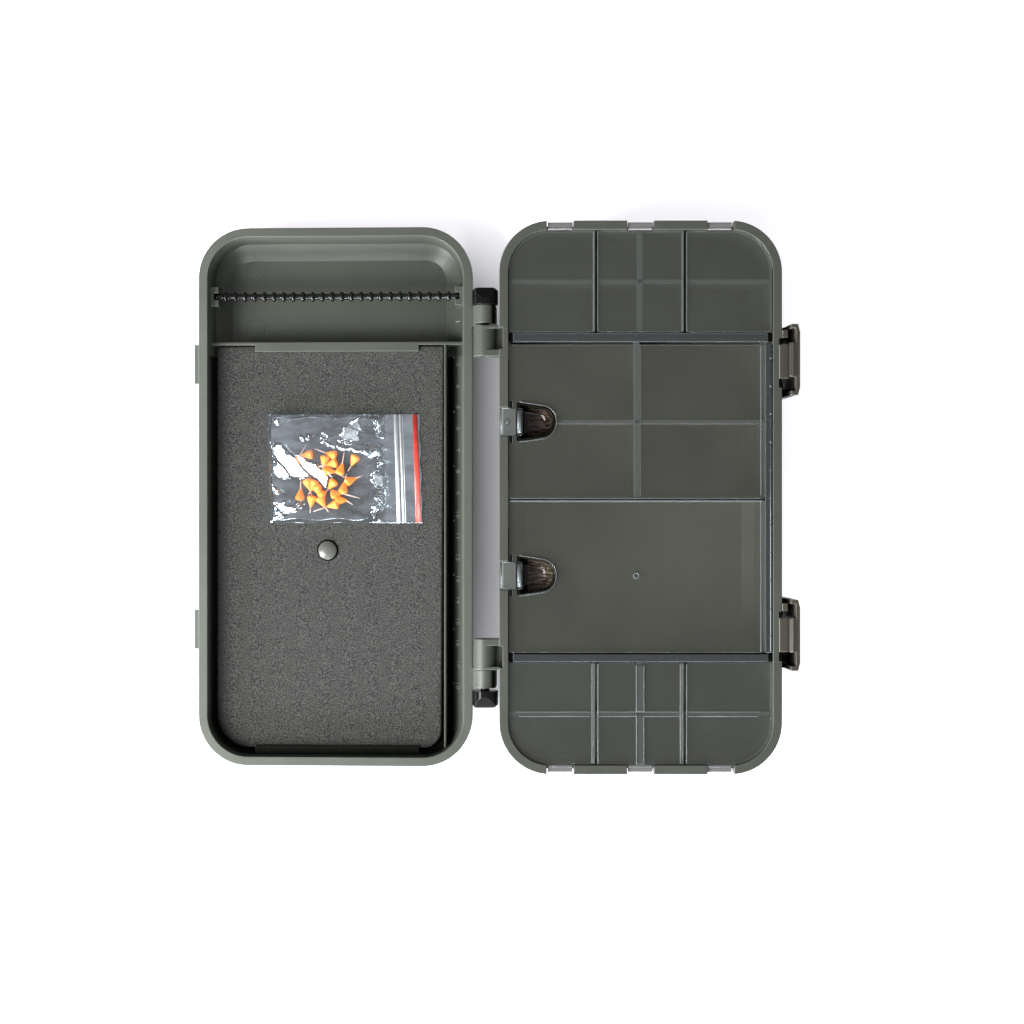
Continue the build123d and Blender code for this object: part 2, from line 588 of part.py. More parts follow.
# Hollow of the lid, less the walls that stand in it
with BuildPart() as lid_hollow:
    with BuildSketch(Plane.XY.offset(LID_Z)):
        RectangleRounded(2 * SEAT_X, 2 * SEAT_Y, SEAT_R)
    extrude(amount=SLOPE_Z - LID_Z, taper=LID_DRAFT)
    extrude(lid_hollow.faces().sort_by(Axis.Z)[-1], amount=SLOPE_HEIGHT,
            taper=degrees(atan(SLOPE_RUN / SLOPE_HEIGHT)))
    add(plain_block(-HALF_X, HALF_X, CROSS_WALL_Y - CROSS_WALL / 2, CROSS_WALL_Y + CROSS_WALL / 2,
                    BAY_Z, LID_TOP), mode=Mode.SUBTRACT)
    add(plain_block(BAY_RIB_X - BAY_RIB / 2, BAY_RIB_X + BAY_RIB / 2, -HALF_Y, CROSS_WALL_Y,
                    BAY_Z, LID_TOP), mode=Mode.SUBTRACT)
    lip_y = CROSS_WALL_Y - CROSS_WALL / 2 - LIP_REACH
    add(plain_block(-LIP_HALF, LIP_HALF, lip_y, CROSS_WALL_Y, BAY_Z, BAY_Z + LIP_THICKNESS),
        mode=Mode.SUBTRACT)
    lip_end = -HALF_Y + FOAM_INSET + LIP_REACH - LEDGE_WIDTH * 2
    add(plain_block(-LIP_HALF, LIP_HALF, -HALF_Y, lip_end, BAY_Z, BAY_Z + LIP_THICKNESS),
        mode=Mode.SUBTRACT)
    rail_z = LID_Z + RAIL_DEPTH
    for side in (1, -1):
        x_low, x_high = sorted((side * BRACKET_REACH, side * HALF_X))
        add(plain_block(x_low, x_high, RAIL_Y - BRACKET_WIDTH / 2, RAIL_Y + BRACKET_WIDTH / 2,
                        rail_z - BRACKET_RISE, LID_TOP), mode=Mode.SUBTRACT)
        slot = RAIL_R + RAIL_FIT
        x_slot = SEAT_X - LEDGE_WIDTH * 2
        x_low, x_high = sorted((side * BRACKET_REACH, side * x_slot))
        with BuildSketch(Plane.YZ.offset(x_low)):
            with Locations((RAIL_Y, rail_z)):
                Circle(slot)
            with Locations((RAIL_Y, rail_z - BRACKET_RISE / 2)):
                Rectangle(2 * slot, BRACKET_RISE)
        extrude(amount=x_high - x_low)

# Lid
with BuildPart() as lid_shell:
    lid_wall_z = LID_Z + LID_BAND_HEIGHT - BAND_BEVEL
    add(rounded_block(WALL_X, WALL_Y, WALL_R, lid_wall_z, LID_TOP, head=EDGE_BEVEL))
    add(rounded_block(HALF_X, HALF_Y, CORNER_RADIUS, LID_Z, LID_Z + LID_BAND_HEIGHT, head=BAND_BEVEL))
    for side in (1, -1):
        # Barrel on an arm that runs up to the lid's wall
        y_start = LID_BARREL_Y + LID_BARREL_LENGTH if side > 0 else -LID_BARREL_Y
        with BuildSketch(y_plane(y_start)):
            with BuildLine():
                arm_top = LID_Z + LID_BAND_HEIGHT + 4
                Polyline(
                    (PIN_X - LID_BARREL_R, PIN_Z),
                    (PIN_X - LID_BARREL_R, LID_Z + 1.5),
                    (-HALF_X - 2, arm_top),
                    (-WALL_X + 0.8, arm_top),
                    (-WALL_X + 0.8, LID_Z),
                    (-HALF_X - 1.3, LID_Z),
                    (-HALF_X - 1.3, PIN_Z + 1),
                    (PIN_X, PIN_Z),
                    close=True,
                )
            make_face()
            with Locations((PIN_X, PIN_Z)):
                Circle(LID_BARREL_R)
                Circle(HINGE_PIN_R + HINGE_PIN_FIT, mode=Mode.SUBTRACT)
        extrude(amount=LID_BARREL_LENGTH)
        # Catch for the latch's hook
        catch_low = side * LATCH_Y - CATCH_WIDTH / 2
        catch_z = LID_Z + CATCH_CLEARANCE
        add(plain_block(HALF_X - 1, HALF_X + CATCH_DEPTH, catch_low, catch_low + CATCH_WIDTH,
                        catch_z, catch_z + CATCH_HEIGHT))
    add(lid_hollow.part, mode=Mode.SUBTRACT)
save_lid_piece(lid_shell.part, "lid_shell")

# Foam board: rounded corners, its lower edge bevelled to clear the lid's slopes
with BuildPart() as foam_board:
    foam_x = HALF_X - FOAM_INSET
    foam_y = HALF_Y - FOAM_INSET
    foam_left = BAY_RIB_X + BAY_RIB / 2 + FOAM_GAP
    foam_end = CROSS_WALL_Y - CROSS_WALL / 2 - FOAM_GAP
    add(rounded_block(foam_x, foam_y, CORNER_RADIUS - FOAM_INSET, FOAM_Z, FOAM_Z + FOAM_THICKNESS,
                      head=FOAM_LOWER_BEVEL))
    add(plain_block(foam_left, foam_x, -foam_y, foam_end, FOAM_Z, FOAM_Z + FOAM_THICKNESS),
        mode=Mode.INTERSECT)
save_lid_piece(foam_board.part, "foam_board")

# Press stud in the foam: a low dome in two cones
with BuildPart() as foam_rivet:
    with BuildSketch(Plane.XY.offset(FOAM_Z)):
        with Locations((RIVET_X, RIVET_Y)):
            Circle(RIVET_R)
    extrude(amount=-RIVET_RISE)
    rivet_top = foam_rivet.edges().group_by(Axis.Z)[0]
    chamfer(rivet_top, RIVET_RISE / 2, RIVET_RISE)
save_lid_piece(foam_rivet.part, "foam_rivet")

# Hook rail: a rod with evenly spaced knots, both many-sided
with BuildPart() as hook_rail:
    rail_end = SEAT_X - LEDGE_WIDTH * 2 - RAIL_FIT
    with BuildSketch(Plane.YZ.offset(-rail_end)):
        with Locations((RAIL_Y, rail_z)):
            RegularPolygon(RAIL_R, RAIL_SIDES)
    extrude(amount=2 * rail_end)
    for index in range(KNOT_COUNT):
        knot_x = (index - (KNOT_COUNT - 1) / 2) * KNOT_PITCH
        with BuildSketch(Plane.YZ.offset(knot_x - KNOT_LENGTH / 2)):
            with Locations((RAIL_Y, rail_z)):
                RegularPolygon(KNOT_R, RAIL_SIDES)
        extrude(amount=KNOT_LENGTH)
save_lid_piece(hook_rail.part, "hook_rail")

# Bag of pins, flat on the foam: a sealed edge round a pillow, turned a little
BAG_PLACE = Location((BAG_X, BAG_Y, FOAM_Z), (0, 0, -BAG_TURN))
with BuildPart() as pin_bag:
    with BuildSketch():
        RectangleRounded(BAG_LENGTH, BAG_WIDTH, BAG_SEAM / 2)
    extrude(amount=-2 * BAG_FILM)
    with BuildSketch(Plane.XY.offset(-BAG_FILM)):
        RectangleRounded(BAG_LENGTH - 2 * BAG_SEAM, BAG_WIDTH - 2 * BAG_SEAM, PILLOW_CORNER)
    extrude(amount=-BAG_THICKNESS + BAG_FILM)
    chamfer(pin_bag.edges().group_by(Axis.Z)[0], BAG_THICKNESS - 4 * BAG_FILM)
    with BuildSketch(Plane.XY.offset(-BAG_FILM)):
        with Locations((PIN_CLUSTER_X - BAG_X, PIN_CLUSTER_Y - BAG_Y)):
            Rectangle(PIN_ROOM_X, PIN_ROOM_Y)
    extrude(amount=-BAG_THICKNESS + 2 * BAG_FILM, mode=Mode.SUBTRACT)
save_lid_piece(pin_bag.part.moved(BAG_PLACE), "pin_bag")

strip_half = BAG_WIDTH / 2 - 2 * BAG_SEAM - BAG_THICKNESS / 2
seal_z = -BAG_THICKNESS
bag_seal = plain_block(ZIP_X - ZIP_WIDTH / 2, ZIP_X + ZIP_WIDTH / 2, -strip_half, strip_half,
                       seal_z - STRIP_THICKNESS, seal_z)
save_lid_piece(bag_seal.moved(BAG_PLACE), "bag_seal")
stripe_z = -2 * BAG_FILM
stripe_half = BAG_WIDTH / 2 - BAG_SEAM / 2
bag_stripe = plain_block(STRIPE_X - STRIPE_WIDTH / 2, STRIPE_X + STRIPE_WIDTH / 2, -stripe_half,
                         stripe_half, stripe_z - STRIP_THICKNESS, stripe_z)
save_lid_piece(bag_stripe.moved(BAG_PLACE), "bag_stripe")

# Foam pins inside the bag: cone heads and thin shafts, many-sided, head to tail
with BuildPart() as foam_pins:
    pin_length = PIN_HEAD_LENGTH + PIN_SHAFT_LENGTH
    pin_z = -BAG_FILM - PIN_HEAD_R
    for column in range(PIN_COLUMNS):
        for row in range(PIN_ROWS):
            way = 1 if row % 2 else -1
            middle_x = PIN_CLUSTER_X - BAG_X + (column - (PIN_COLUMNS - 1) / 2) * (pin_length + 1)
            middle_y = PIN_CLUSTER_Y - BAG_Y + (row - (PIN_ROWS - 1) / 2) * PIN_PITCH
            collar = Vector(middle_x + way * (PIN_HEAD_LENGTH - pin_length / 2), middle_y, pin_z)
            head_plane = Plane(collar, x_dir=(0, 1, 0), z_dir=(-way, 0, 0))
            rings = []
            for radius, along in ((PIN_HEAD_R, 0), (PIN_TIP_R, PIN_HEAD_LENGTH)):
                turns = [2 * pi * side / PIN_SIDES for side in range(PIN_SIDES)]
                rings.append([head_plane.from_local_coords((radius * cos(t), radius * sin(t), along))
                              for t in turns])
            add(flat_sided(*rings))
            with BuildSketch(head_plane):
                RegularPolygon(PIN_SHAFT_R, 4)
            extrude(amount=-PIN_SHAFT_LENGTH)
save_lid_piece(foam_pins.part.moved(BAG_PLACE), "foam_pins")

print(f"lid opens {LID_SWING:.3f} degrees; hinge pin at x {PIN_X:.2f}, z {PIN_Z:.2f}")
print(f"latch pin at x {LATCH_PIN_X:.2f}, z {LATCH_PIN_Z:.2f}")
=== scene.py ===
"""Looks of the rig box: an open moulded case with clear flaps, a foam board, a hook rail
and a small bag of foam pins, lit softly from the lower left and seen from straight above."""

from functools import partial, reduce
from math import cos, pi, radians, sin

import bmesh
import bpy
import numpy as np
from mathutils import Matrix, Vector


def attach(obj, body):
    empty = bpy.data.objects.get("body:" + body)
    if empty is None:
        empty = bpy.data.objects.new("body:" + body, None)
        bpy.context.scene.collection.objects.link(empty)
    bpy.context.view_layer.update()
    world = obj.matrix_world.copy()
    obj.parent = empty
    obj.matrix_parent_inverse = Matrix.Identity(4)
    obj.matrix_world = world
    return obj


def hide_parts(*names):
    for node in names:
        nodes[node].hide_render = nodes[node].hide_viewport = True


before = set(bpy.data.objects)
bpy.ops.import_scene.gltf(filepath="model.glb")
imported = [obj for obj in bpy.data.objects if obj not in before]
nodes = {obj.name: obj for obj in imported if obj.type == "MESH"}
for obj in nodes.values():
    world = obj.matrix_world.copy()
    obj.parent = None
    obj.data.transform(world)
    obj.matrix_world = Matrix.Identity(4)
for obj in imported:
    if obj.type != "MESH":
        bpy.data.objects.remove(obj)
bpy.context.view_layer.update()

MM = 0.001
HINGE_X = -69.8
HINGE_Z = 35.5
LID_SWING = radians(182.253)
LID_PLAY = 0.5
SHUT_RIM_Z = 46.2
FOAM_DEPTH = 7.6
FLOOR_DEPTH = 17.6
FLAP_TOP = 45.25
DIVIDER_TOP = 43.995
KEY_PLACE = np.array([-1.12, -0.62, 0.92])
CARD_PLACE = np.array([-0.5, -1.15, 0.95])
CAMERA_PLACE = np.array([-0.0576, -0.0065, 0.8738])
LIGHT_AIM = (-0.06, 0, 0.02)
LATCH_Y = 61.2
LATCH_LEAN = 0.0577
STUD = np.array([4.5, -24.8])
BAG_X = -3.6
BAG_Y = 13.1
BAG_LEAN = -0.033
BAG_HALF_X = 35.4
BAG_HALF_Y = 25.2
DOUBLES = 2e-6
DOME_SIDES = 12
MIX_LOW, MIX_HIGH, MIX_RESULT = 6, 7, 2


# ---- places ----


def on_lid(x, y, depth):
    """Row points in metres of places on the lid, given as on a shut lid: x and y over
    the base and depth up from the lid's rim. The lid turns back about its hinge."""
    x, y, depth = np.broadcast_arrays(x, y, depth)
    across = x - HINGE_X
    up = SHUT_RIM_Z + depth - HINGE_Z
    c, s = cos(-LID_SWING), sin(-LID_SWING)
    return np.stack([HINGE_X + across * c + up * s, y + LID_PLAY, HINGE_Z - across * s + up * c], -1) * MM


def on_row(x, y, z):
    """Row points in metres from millimetres."""
    return np.stack(np.broadcast_arrays(x, y, z), -1) * MM


def on_bag(x, y, height):
    """Row points of places on the bag: x and y from its middle, height above the foam.
    The bag lies a little askew: its sides lean, its ends stay level."""
    return on_lid(BAG_X + x - y * BAG_LEAN, BAG_Y + y, FOAM_DEPTH - height)


# ---- meshes ----


def piece(name, points, faces, material, body, smooth=True):
    """An object at the origin from points and faces, riding on a body. Doubles are merged
    and faces turned outwards; faces of more than four corners stay flat."""
    mesh = bpy.data.meshes.new(name)
    mesh.from_pydata(np.asarray(points, float).reshape(-1, 3).tolist(), [], [list(f) for f in faces])
    work = bmesh.new()
    work.from_mesh(mesh)
    bmesh.ops.remove_doubles(work, verts=work.verts, dist=DOUBLES)
    bmesh.ops.recalc_face_normals(work, faces=work.faces)
    work.to_mesh(mesh)
    work.free()
    corners = np.empty(len(mesh.polygons), int)
    mesh.polygons.foreach_get("loop_total", corners)
    mesh.polygons.foreach_set("use_smooth", smooth & (corners <= 4))
    mesh.materials.append(material)
    made = bpy.data.objects.new(name, mesh)
    bpy.context.collection.objects.link(made)
    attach(made, body)
    return made


def grid_faces(rows, columns, wrap_rows=False, wrap_columns=True, count=1):
    """Corner numbers of the cells of count grids of points, one after another."""
    i = np.arange(rows if wrap_rows else rows - 1)
    j = np.arange(columns if wrap_columns else columns - 1)
    n, a, b = np.meshgrid(np.arange(count) * rows * columns, i, j, indexing="ij")
    a2 = (a + 1) % rows
    b2 = (b + 1) % columns
    corners = [a * columns + b, a2 * columns + b, a2 * columns + b2, a * columns + b2]
    return (np.stack(corners, -1) + n[..., None]).reshape(-1, 4).tolist()


def circle(sides):
    """Angles evenly round a circle."""
    return np.linspace(0, 2 * pi, sides, endpoint=False)


def unit(ways):
    """Ways made one long."""
    return ways / np.linalg.norm(ways, axis=-1, keepdims=True)


def turned(profile, sides):
    """A profile of (radius, height) turned about Z: rows follow the profile."""
    radius, height = np.asarray(profile, float).T
    turn = circle(sides)
    return np.stack([
        radius[:, None] * np.cos(turn),
        radius[:, None] * np.sin(turn),
        np.broadcast_to(height[:, None], (len(radius), sides)),
    ], -1)


def dome(radius, height, steps):
    """A low dome: rows from its rim up to its top, and a last point on the flat below."""
    share = np.linspace(0, pi / 2, steps)
    cap = turned(np.stack([radius * np.sin(share), height * np.cos(share)], -1)[::-1], DOME_SIDES)
    return np.concatenate([cap, cap[-1:] * [1, 1, 0]])


FLAT_BAND = [(-0.5, 0), (-0.44, 1), (0.44, 1), (0.5, 0)]
ROUND_BAND = [(-0.5, 0), (-0.46, 0.45), (-0.34, 0.8), (-0.16, 0.97),
              (0.06, 1), (0.26, 0.88), (0.42, 0.55), (0.5, 0)]


def bands(name, lines, material, body, rounded=False):
    """Straight bands, all worked out together: a section given as shares of width and
    height is carried from one point to another. A line is x and y of its start and end,
    width, the height it stands on and its rise."""
    lines = np.asarray(lines, float)
    section = np.asarray(ROUND_BAND if rounded else FLAT_BAND, float)
    ends = lines[:, :4].reshape(-1, 2, 2)
    along = unit(ends[:, 1] - ends[:, 0])
    side = np.stack([-along[:, 1], along[:, 0]], -1)
    across = section[:, 0] * lines[:, 4, None]
    plan = ends[:, :, None] + side[:, None, None] * across[:, None, :, None]
    level = lines[:, 5, None] + section[:, 1] * lines[:, 6, None]
    level = np.broadcast_to(level[:, None], plan.shape[:3])
    count, corners = len(lines), len(section)
    first = np.arange(count)[:, None] * 2 * corners
    caps = np.concatenate([first + np.arange(corners), first + corners + np.arange(corners)[::-1]])
    faces = grid_faces(2, corners, count=count) + caps.tolist()
    piece(name, on_row(plan[..., 0], plan[..., 1], level), faces, material, body, rounded)


# ---- materials ----


def node(tree, kind, inputs=None, **settings):
    """Adds a shader node, sets it and links the sockets given as inputs."""
    made = tree.nodes.new(kind)
    for key, value in settings.items():
        setattr(made, key, value)
    for key, value in (inputs or {}).items():
        if isinstance(value, bpy.types.NodeSocket):
            tree.links.new(value, made.inputs[key])
        else:
            made.inputs[key].default_value = value
    return made


def new_material(name):
    """An empty node material and its tree."""
    made = bpy.data.materials.new(name)
    made.use_nodes = True
    made.node_tree.nodes.clear()
    return made, made.node_tree


def place(tree):
    """The piece's own coordinates."""
    return node(tree, "ShaderNodeTexCoord").outputs["Object"]


def axes(tree):
    """The piece's own x, y and z in metres."""
    return tuple(node(tree, "ShaderNodeSeparateXYZ", {0: place(tree)}).outputs)


def noise(tree, scale, detail=2.0, rough=0.5, vector=None):
    """Soft noise over the piece, scale in cells per metre."""
    inputs = {"Vector": vector or place(tree), "Scale": scale, "Detail": detail, "Roughness": rough}
    return node(tree, "ShaderNodeTexNoise", inputs).outputs["Fac"]


def ramp(value, low, high, low_out=0.0, high_out=1.0):
    """A value moved from one range to another and held there."""
    inputs = {"Value": value, "From Min": low, "From Max": high, "To Min": low_out, "To Max": high_out}
    return node(value.id_data, "ShaderNodeMapRange", inputs, clamp=True).outputs["Result"]


def between(share, low, high):
    """Low where the share is 0, high where it is 1."""
    return ramp(share, 0.0, 1.0, low, high)


def with_alpha(value):
    """A colour's three numbers with a fourth; other values as they are."""
    return (*value, 1) if isinstance(value, tuple) else value


def blend(amount, low, high):
    """Mixes two colours, each three numbers or a socket."""
    inputs = {"Factor": amount, MIX_LOW: with_alpha(low), MIX_HIGH: with_alpha(high)}
    return node(amount.id_data, "ShaderNodeMix", inputs, data_type="RGBA").outputs[MIX_RESULT]


def calc(operation, a, b=0.0):
    """One sum on two values, of which at least one is a socket."""
    tree = (a if isinstance(a, bpy.types.NodeSocket) else b).id_data
    return node(tree, "ShaderNodeMath", {0: a, 1: b}, operation=operation).outputs[0]


def fold(operation):
    """A function that carries a sum over all its values."""
    return lambda *values: reduce(partial(calc, operation), values)


times, plus, most = fold("MULTIPLY"), fold("ADD"), fold("MAXIMUM")


def vectors(operation, a, b, output="Value"):
    """One sum on two vectors."""
    return node(a.id_data, "ShaderNodeVectorMath", {0: a, 1: b}, operation=operation).outputs[output]


def edge_mask(tree, radius, gain=6.0):
    """(mask, rounded normal): the mask is 1 close to a piece's sharp edges."""
    rounded = node(tree, "ShaderNodeBevel", {"Radius": radius}, samples=6).outputs["Normal"]
    true = node(tree, "ShaderNodeNewGeometry").outputs["Normal"]
    away = calc("SUBTRACT", 1.0, vectors("DOT_PRODUCT", rounded, true))
    return calc("MINIMUM", times(away, gain), 1.0), rounded


def reading(tree, origin, mark):
    """Place along the way from an origin to a mark one millimetre off, in millimetres,
    from the piece's own coordinates: their dot product with that way."""
    way = (mark - origin) / ((mark - origin) @ (mark - origin))
    return calc("SUBTRACT", vectors("DOT_PRODUCT", place(tree), tuple(way)), float(origin @ way))


def lid_reading(tree):
    """Across, along and depth on the lid in millimetres, given as on a shut lid."""
    return [reading(tree, on_lid(0, 0, 0), on_lid(*way)) for way in np.eye(3)]


def lid_inside(tree, across, along, depth):
    """1 on the lid's inner faces: those in a block inside its walls, and those that look
    towards a point in its hollow."""
    outward = vectors("SUBTRACT", place(tree), tuple(on_lid(0, 0, 4.0)), "Vector")
    looks = node(tree, "ShaderNodeTexCoord").outputs["Normal"]
    block = times(ramp(calc("ABSOLUTE", across), 59.5, 60.5, 1.0, 0.0),
                  ramp(calc("ABSOLUTE", along), 114.5, 115.5, 1.0, 0.0),
                  ramp(depth, 13.5, 14.5, 1.0, 0.0))
    return most(block, ramp(vectors("DOT_PRODUCT", looks, outward), 0.0002, -0.0002))


def lid_shade(tree):
    """Painted shade on the lid's plastic: none at the rim and outside, dark down the walls
    round the foam, in between in the bay beyond it and on the ruler's slope, and darker
    towards the hinges and the top."""
    across, along, depth = lid_reading(tree)
    ridge = times(ramp(across, -49.6, -49.9), ramp(across, -50.95, -50.85, 0.0, 0.7))
    channel = most(ramp(across, -50.9, -51.1, 0.12, 0.02), ridge, ramp(across, -53.2, -56.0, 0.02, 1.4))
    deep = between(ramp(along, 65.2, 65.9), channel, 0.78)
    level = between(ramp(depth, 0.4, 6.0, 1.0, 0.0), deep, 1.0)
    level = between(lid_inside(tree, across, along, depth), 1.0, level)
    return times(level, ramp(across, 60.0, -64.0, 1.0, 0.7), ramp(along, 60.0, 122.0, 1.0, 0.8))


def knuckle_shade(tree):
    """Painted shade, dark on the right of the lid's knuckles, where they turn into the gap."""
    x, _, z = axes(tree)
    right = times(ramp(x, -0.0676, -0.0664), ramp(x, -0.0640, -0.0645), ramp(z, 0.0335, 0.0345))
    return between(right, 1.0, 0.12)


def latch_shade(tree):
    """Painted shade: dark on a latch's inner wall beside its hook, in the lean of the latch, and
    half dark on the hook."""
    x, y, z = axes(tree)
    outward = calc("SUBTRACT", x, times(z, LATCH_LEAN))
    beside = calc("ABSOLUTE", calc("SUBTRACT", calc("ABSOLUTE", y), LATCH_Y * MM))
    inner = most(ramp(beside, 0.0074, 0.0076, 0.62, 0.0), ramp(z, 0.024, 0.034, 0.5, 0.06))
    off_hook = times(ramp(z, 0.0495, 0.05), ramp(beside, 0.0074, 0.0076))
    return between(most(ramp(outward, 0.0656, 0.0659), off_hook), inner, 1.0)


def finish(material, **sockets):
    """The material's shader, with its sockets set or linked by name."""
    names = {"color": "Base Color", "rough": "Roughness", "metal": "Metallic", "normal": "Normal",
             "alpha": "Alpha", "ior": "IOR", "glow": "Emission Color", "glowing": "Emission Strength"}
    inputs = {names[key]: with_alpha(value) for key, value in sockets.items()}
    tree = material.node_tree
    shader = node(tree, "ShaderNodeBsdfPrincipled", inputs)
    node(tree, "ShaderNodeOutputMaterial", {0: shader.outputs[0]})
    return material


def bump(height, depth, normal=None):
    """A bump of that depth in metres from a height between 0 and 1."""
    inputs = {"Height": height, "Distance": depth, "Strength": 1}
    if normal is not None:
        inputs["Normal"] = normal
    return node(height.id_data, "ShaderNodeBump", inputs).outputs["Normal"]


def moulded(name, tone, dark, rough, grain=0.000012, painted_edge_tone=None, edge=0.0004, ior=1.5, painted_shades=()):
    """Moulded plastic: slow drifts of tone, a fine spark-eroded grain, and edges rounded, with a
    painted highlight along them in the edge tone. Painted shades are functions that darken and
    dull parts of it as painted shade."""
    made, tree = new_material(name)
    drift = ramp(noise(tree, 22, 3), 0.35, 0.65)
    color = blend(drift, dark, tone)
    mask, rounded = edge_mask(tree, edge)
    if painted_edge_tone:
        color = blend(mask, color, painted_edge_tone)
    # each painted shade darkens the colour and dulls the reflection where its level is low
    for shade in painted_shades:
        level = shade(tree)
        color = blend(level, (0.002, 0.002, 0.0015), color)
        ior = ramp(level, 0.05, 0.6, 1.06, ior)
    fine = noise(tree, 2600)
    uneven = ramp(noise(tree, 60, 4, 0.6), 0.3, 0.7, rough - 0.05, rough + 0.06)
    return finish(made, color=color, rough=uneven, ior=ior, normal=bump(fine, grain, rounded))


def clear(name, tone, painted_edge_tone, alpha, edge_alpha):
    """Clear moulded plastic: faint flow lines, and a painted highlight along its edges: lighter and more
    opaque there.
    """
    made, tree = new_material(name)
    mask, rounded = edge_mask(tree, 0.0005, 8.0)
    color = blend(mask, tone, painted_edge_tone)
    wave = noise(tree, 55)
    opacity = plus(ramp(wave, 0.3, 0.7, alpha - 0.02, alpha + 0.02), times(mask, edge_alpha - alpha))
    return finish(made, color=color, rough=0.12, alpha=opacity, normal=bump(wave, 0.00004, rounded))


olive = moulded("olive case plastic", (0.052, 0.057, 0.045), (0.046, 0.05, 0.039), 0.4,
                painted_edge_tone=(0.12, 0.13, 0.108), edge=0.0006)
# The lid's plastic is a lighter copy of the case plastic: its lighter tone is painted light, darkened inside
# by painted shade.
olive_lid_painted_light = moulded("olive lid plastic", (0.093, 0.103, 0.083), (0.084, 0.093, 0.074), 0.4,
                    painted_edge_tone=(0.16, 0.175, 0.15), edge=0.0006, painted_shades=(lid_shade, knuckle_shade))
olive_latch = moulded("olive latch plastic", (0.046, 0.041, 0.031), (0.04, 0.036, 0.027), 0.34,
                      painted_edge_tone=(0.2, 0.19, 0.16), painted_shades=(latch_shade,))
catch_olive = moulded("olive catch plastic", (0.052, 0.045, 0.034), (0.045, 0.039, 0.03), 0.34,
                      painted_edge_tone=(0.2, 0.19, 0.16))
black_pin = moulded("black hinge plastic", (0.005, 0.005, 0.005), (0.003, 0.003, 0.003), 0.14, grain=0.000005,
                    painted_edge_tone=(0.02, 0.021, 0.02), ior=1.28)
rail_black = moulded("glossy rail black", (0.006, 0.006, 0.006), (0.004, 0.004, 0.004), 0.12, grain=0.000004)
stud_grey = moulded("press stud grey", (0.11, 0.114, 0.102), (0.095, 0.097, 0.086), 0.2)
scoop_lip = moulded("black scoop lip", (0.004, 0.004, 0.003), (0.003, 0.003, 0.002), 0.3, ior=1.2)
clear_flap = clear("clear flap plastic", (0.105, 0.107, 0.088), (0.2, 0.22, 0.215), 0.22, 0.5)
clear_end = clear("clear end flap plastic", (0.084, 0.088, 0.077), (0.18, 0.195, 0.19), 0.3, 0.5)
clear_strip = clear("clear strip plastic", (0.045, 0.052, 0.053), (0.17, 0.2, 0.21), 0.55, 0.8)
clear_cap = clear("clear divider caps", (0.088, 0.1, 0.104), (0.13, 0.15, 0.158), 0.75, 0.85)
clear_dim = clear("dim clear ridges", (0.062, 0.068, 0.064), (0.085, 0.095, 0.094), 0.75, 0.85)
# a lighter, more opaque copy of the clear plastic for its edges: a painted highlight
clear_edge_highlight = clear("clear edges with painted highlight", (0.125, 0.138, 0.137), (0.22, 0.245, 0.25), 0.7, 0.85)
clear_face = clear("clear tab faces", (0.13, 0.137, 0.125), (0.26, 0.27, 0.26), 0.45, 0.7)
pale_tab = clear("pale end tabs", (0.14, 0.133, 0.13), (0.36, 0.34, 0.34), 0.92, 0.95)
# a lighter copy of the clear plastic for the tabs' bars and lines: a painted highlight
clear_tab_highlight = clear("clear tabs with painted highlight", (0.15, 0.175, 0.19), (0.27, 0.3, 0.32), 0.7, 0.85)
# black for painted shadow in the seams and the latch windows
shadow_black = moulded("black painted shadows", (0.003, 0.003, 0.0025), (0.002, 0.002, 0.0015), 0.5, grain=0.000004,
                    ior=1.08)
number_tone = moulded("ruler number plastic", (0.3, 0.33, 0.3), (0.2, 0.22, 0.2), 0.3)


def scoop_material(name, tone, streak_tone, black_low, black_high):
    """Smoked scoop plastic: brown with lighter drawn streaks, black as painted shadow towards the
    flap's edge under the tab and, between two heights, up round its rim."""
    made, tree = new_material(name)
    x, _, z = axes(tree)
    drawn = node(tree, "ShaderNodeMapping", {"Vector": place(tree), "Scale": (0.22, 1, 0.5)})
    streaks = ramp(noise(tree, 900, 2, 0.5, drawn.outputs[0]), 0.45, 0.68)
    color = blend(streaks, tone, streak_tone)
    # painted shadow on the cup's side under the tab, and black up round its rim
    black = times(ramp(x, -0.0509, -0.0503), ramp(z, black_high, black_low))
    color = blend(black, (0.004, 0.004, 0.002), color)
    rough = ramp(z, 0.041, 0.0435, 0.09, 0.5)
    return finish(made, color=color, rough=rough, ior=1.35, normal=bump(streaks, 0.00003))


scoop_upper = scoop_material("smoked scoop plastic", (0.016, 0.01, 0.007), (0.085, 0.062, 0.05),
                             0.0396, 0.0424)
scoop_lower = scoop_material("smoked grooved plastic", (0.03, 0.023, 0.014), (0.12, 0.098, 0.08),
                             0.041, 0.0432)


def foam_material():
    """Closed-cell foam: a tight mottle of dark and light cells with a few open pores, and a painted
    shadow near the lid's walls along one side and at both ends.
    """
    made, tree = new_material("speckled grey foam")
    cells = noise(tree, 2350, 1, 0.7)
    coarse = noise(tree, 420)
    mottle = plus(times(cells, 0.92), times(coarse, 0.08))
    color = blend(ramp(mottle, 0.42, 0.58), (0.006, 0.0063, 0.0054), (0.071, 0.073, 0.067))
    pores = node(tree, "ShaderNodeTexVoronoi", {"Vector": place(tree), "Scale": 260}).outputs["Distance"]
    color = blend(ramp(pores, 0.05, 0.13), (0.012, 0.013, 0.011), color)
    across, along, _ = lid_reading(tree)
    # painted shadow from the lid's walls on the foam's side and ends
    inner = times(ramp(across, 56.2, 49.0, 0.55, 1.0), ramp(along, -116.6, -111.5, 0.5, 1.0),
                  ramp(along, 70.3, 68.0, 0.6, 1.0))
    color = blend(inner, (0.003, 0.003, 0.0025), color)
    return finish(made, color=color, rough=0.95, normal=bump(mottle, 0.00012))


foam = foam_material()


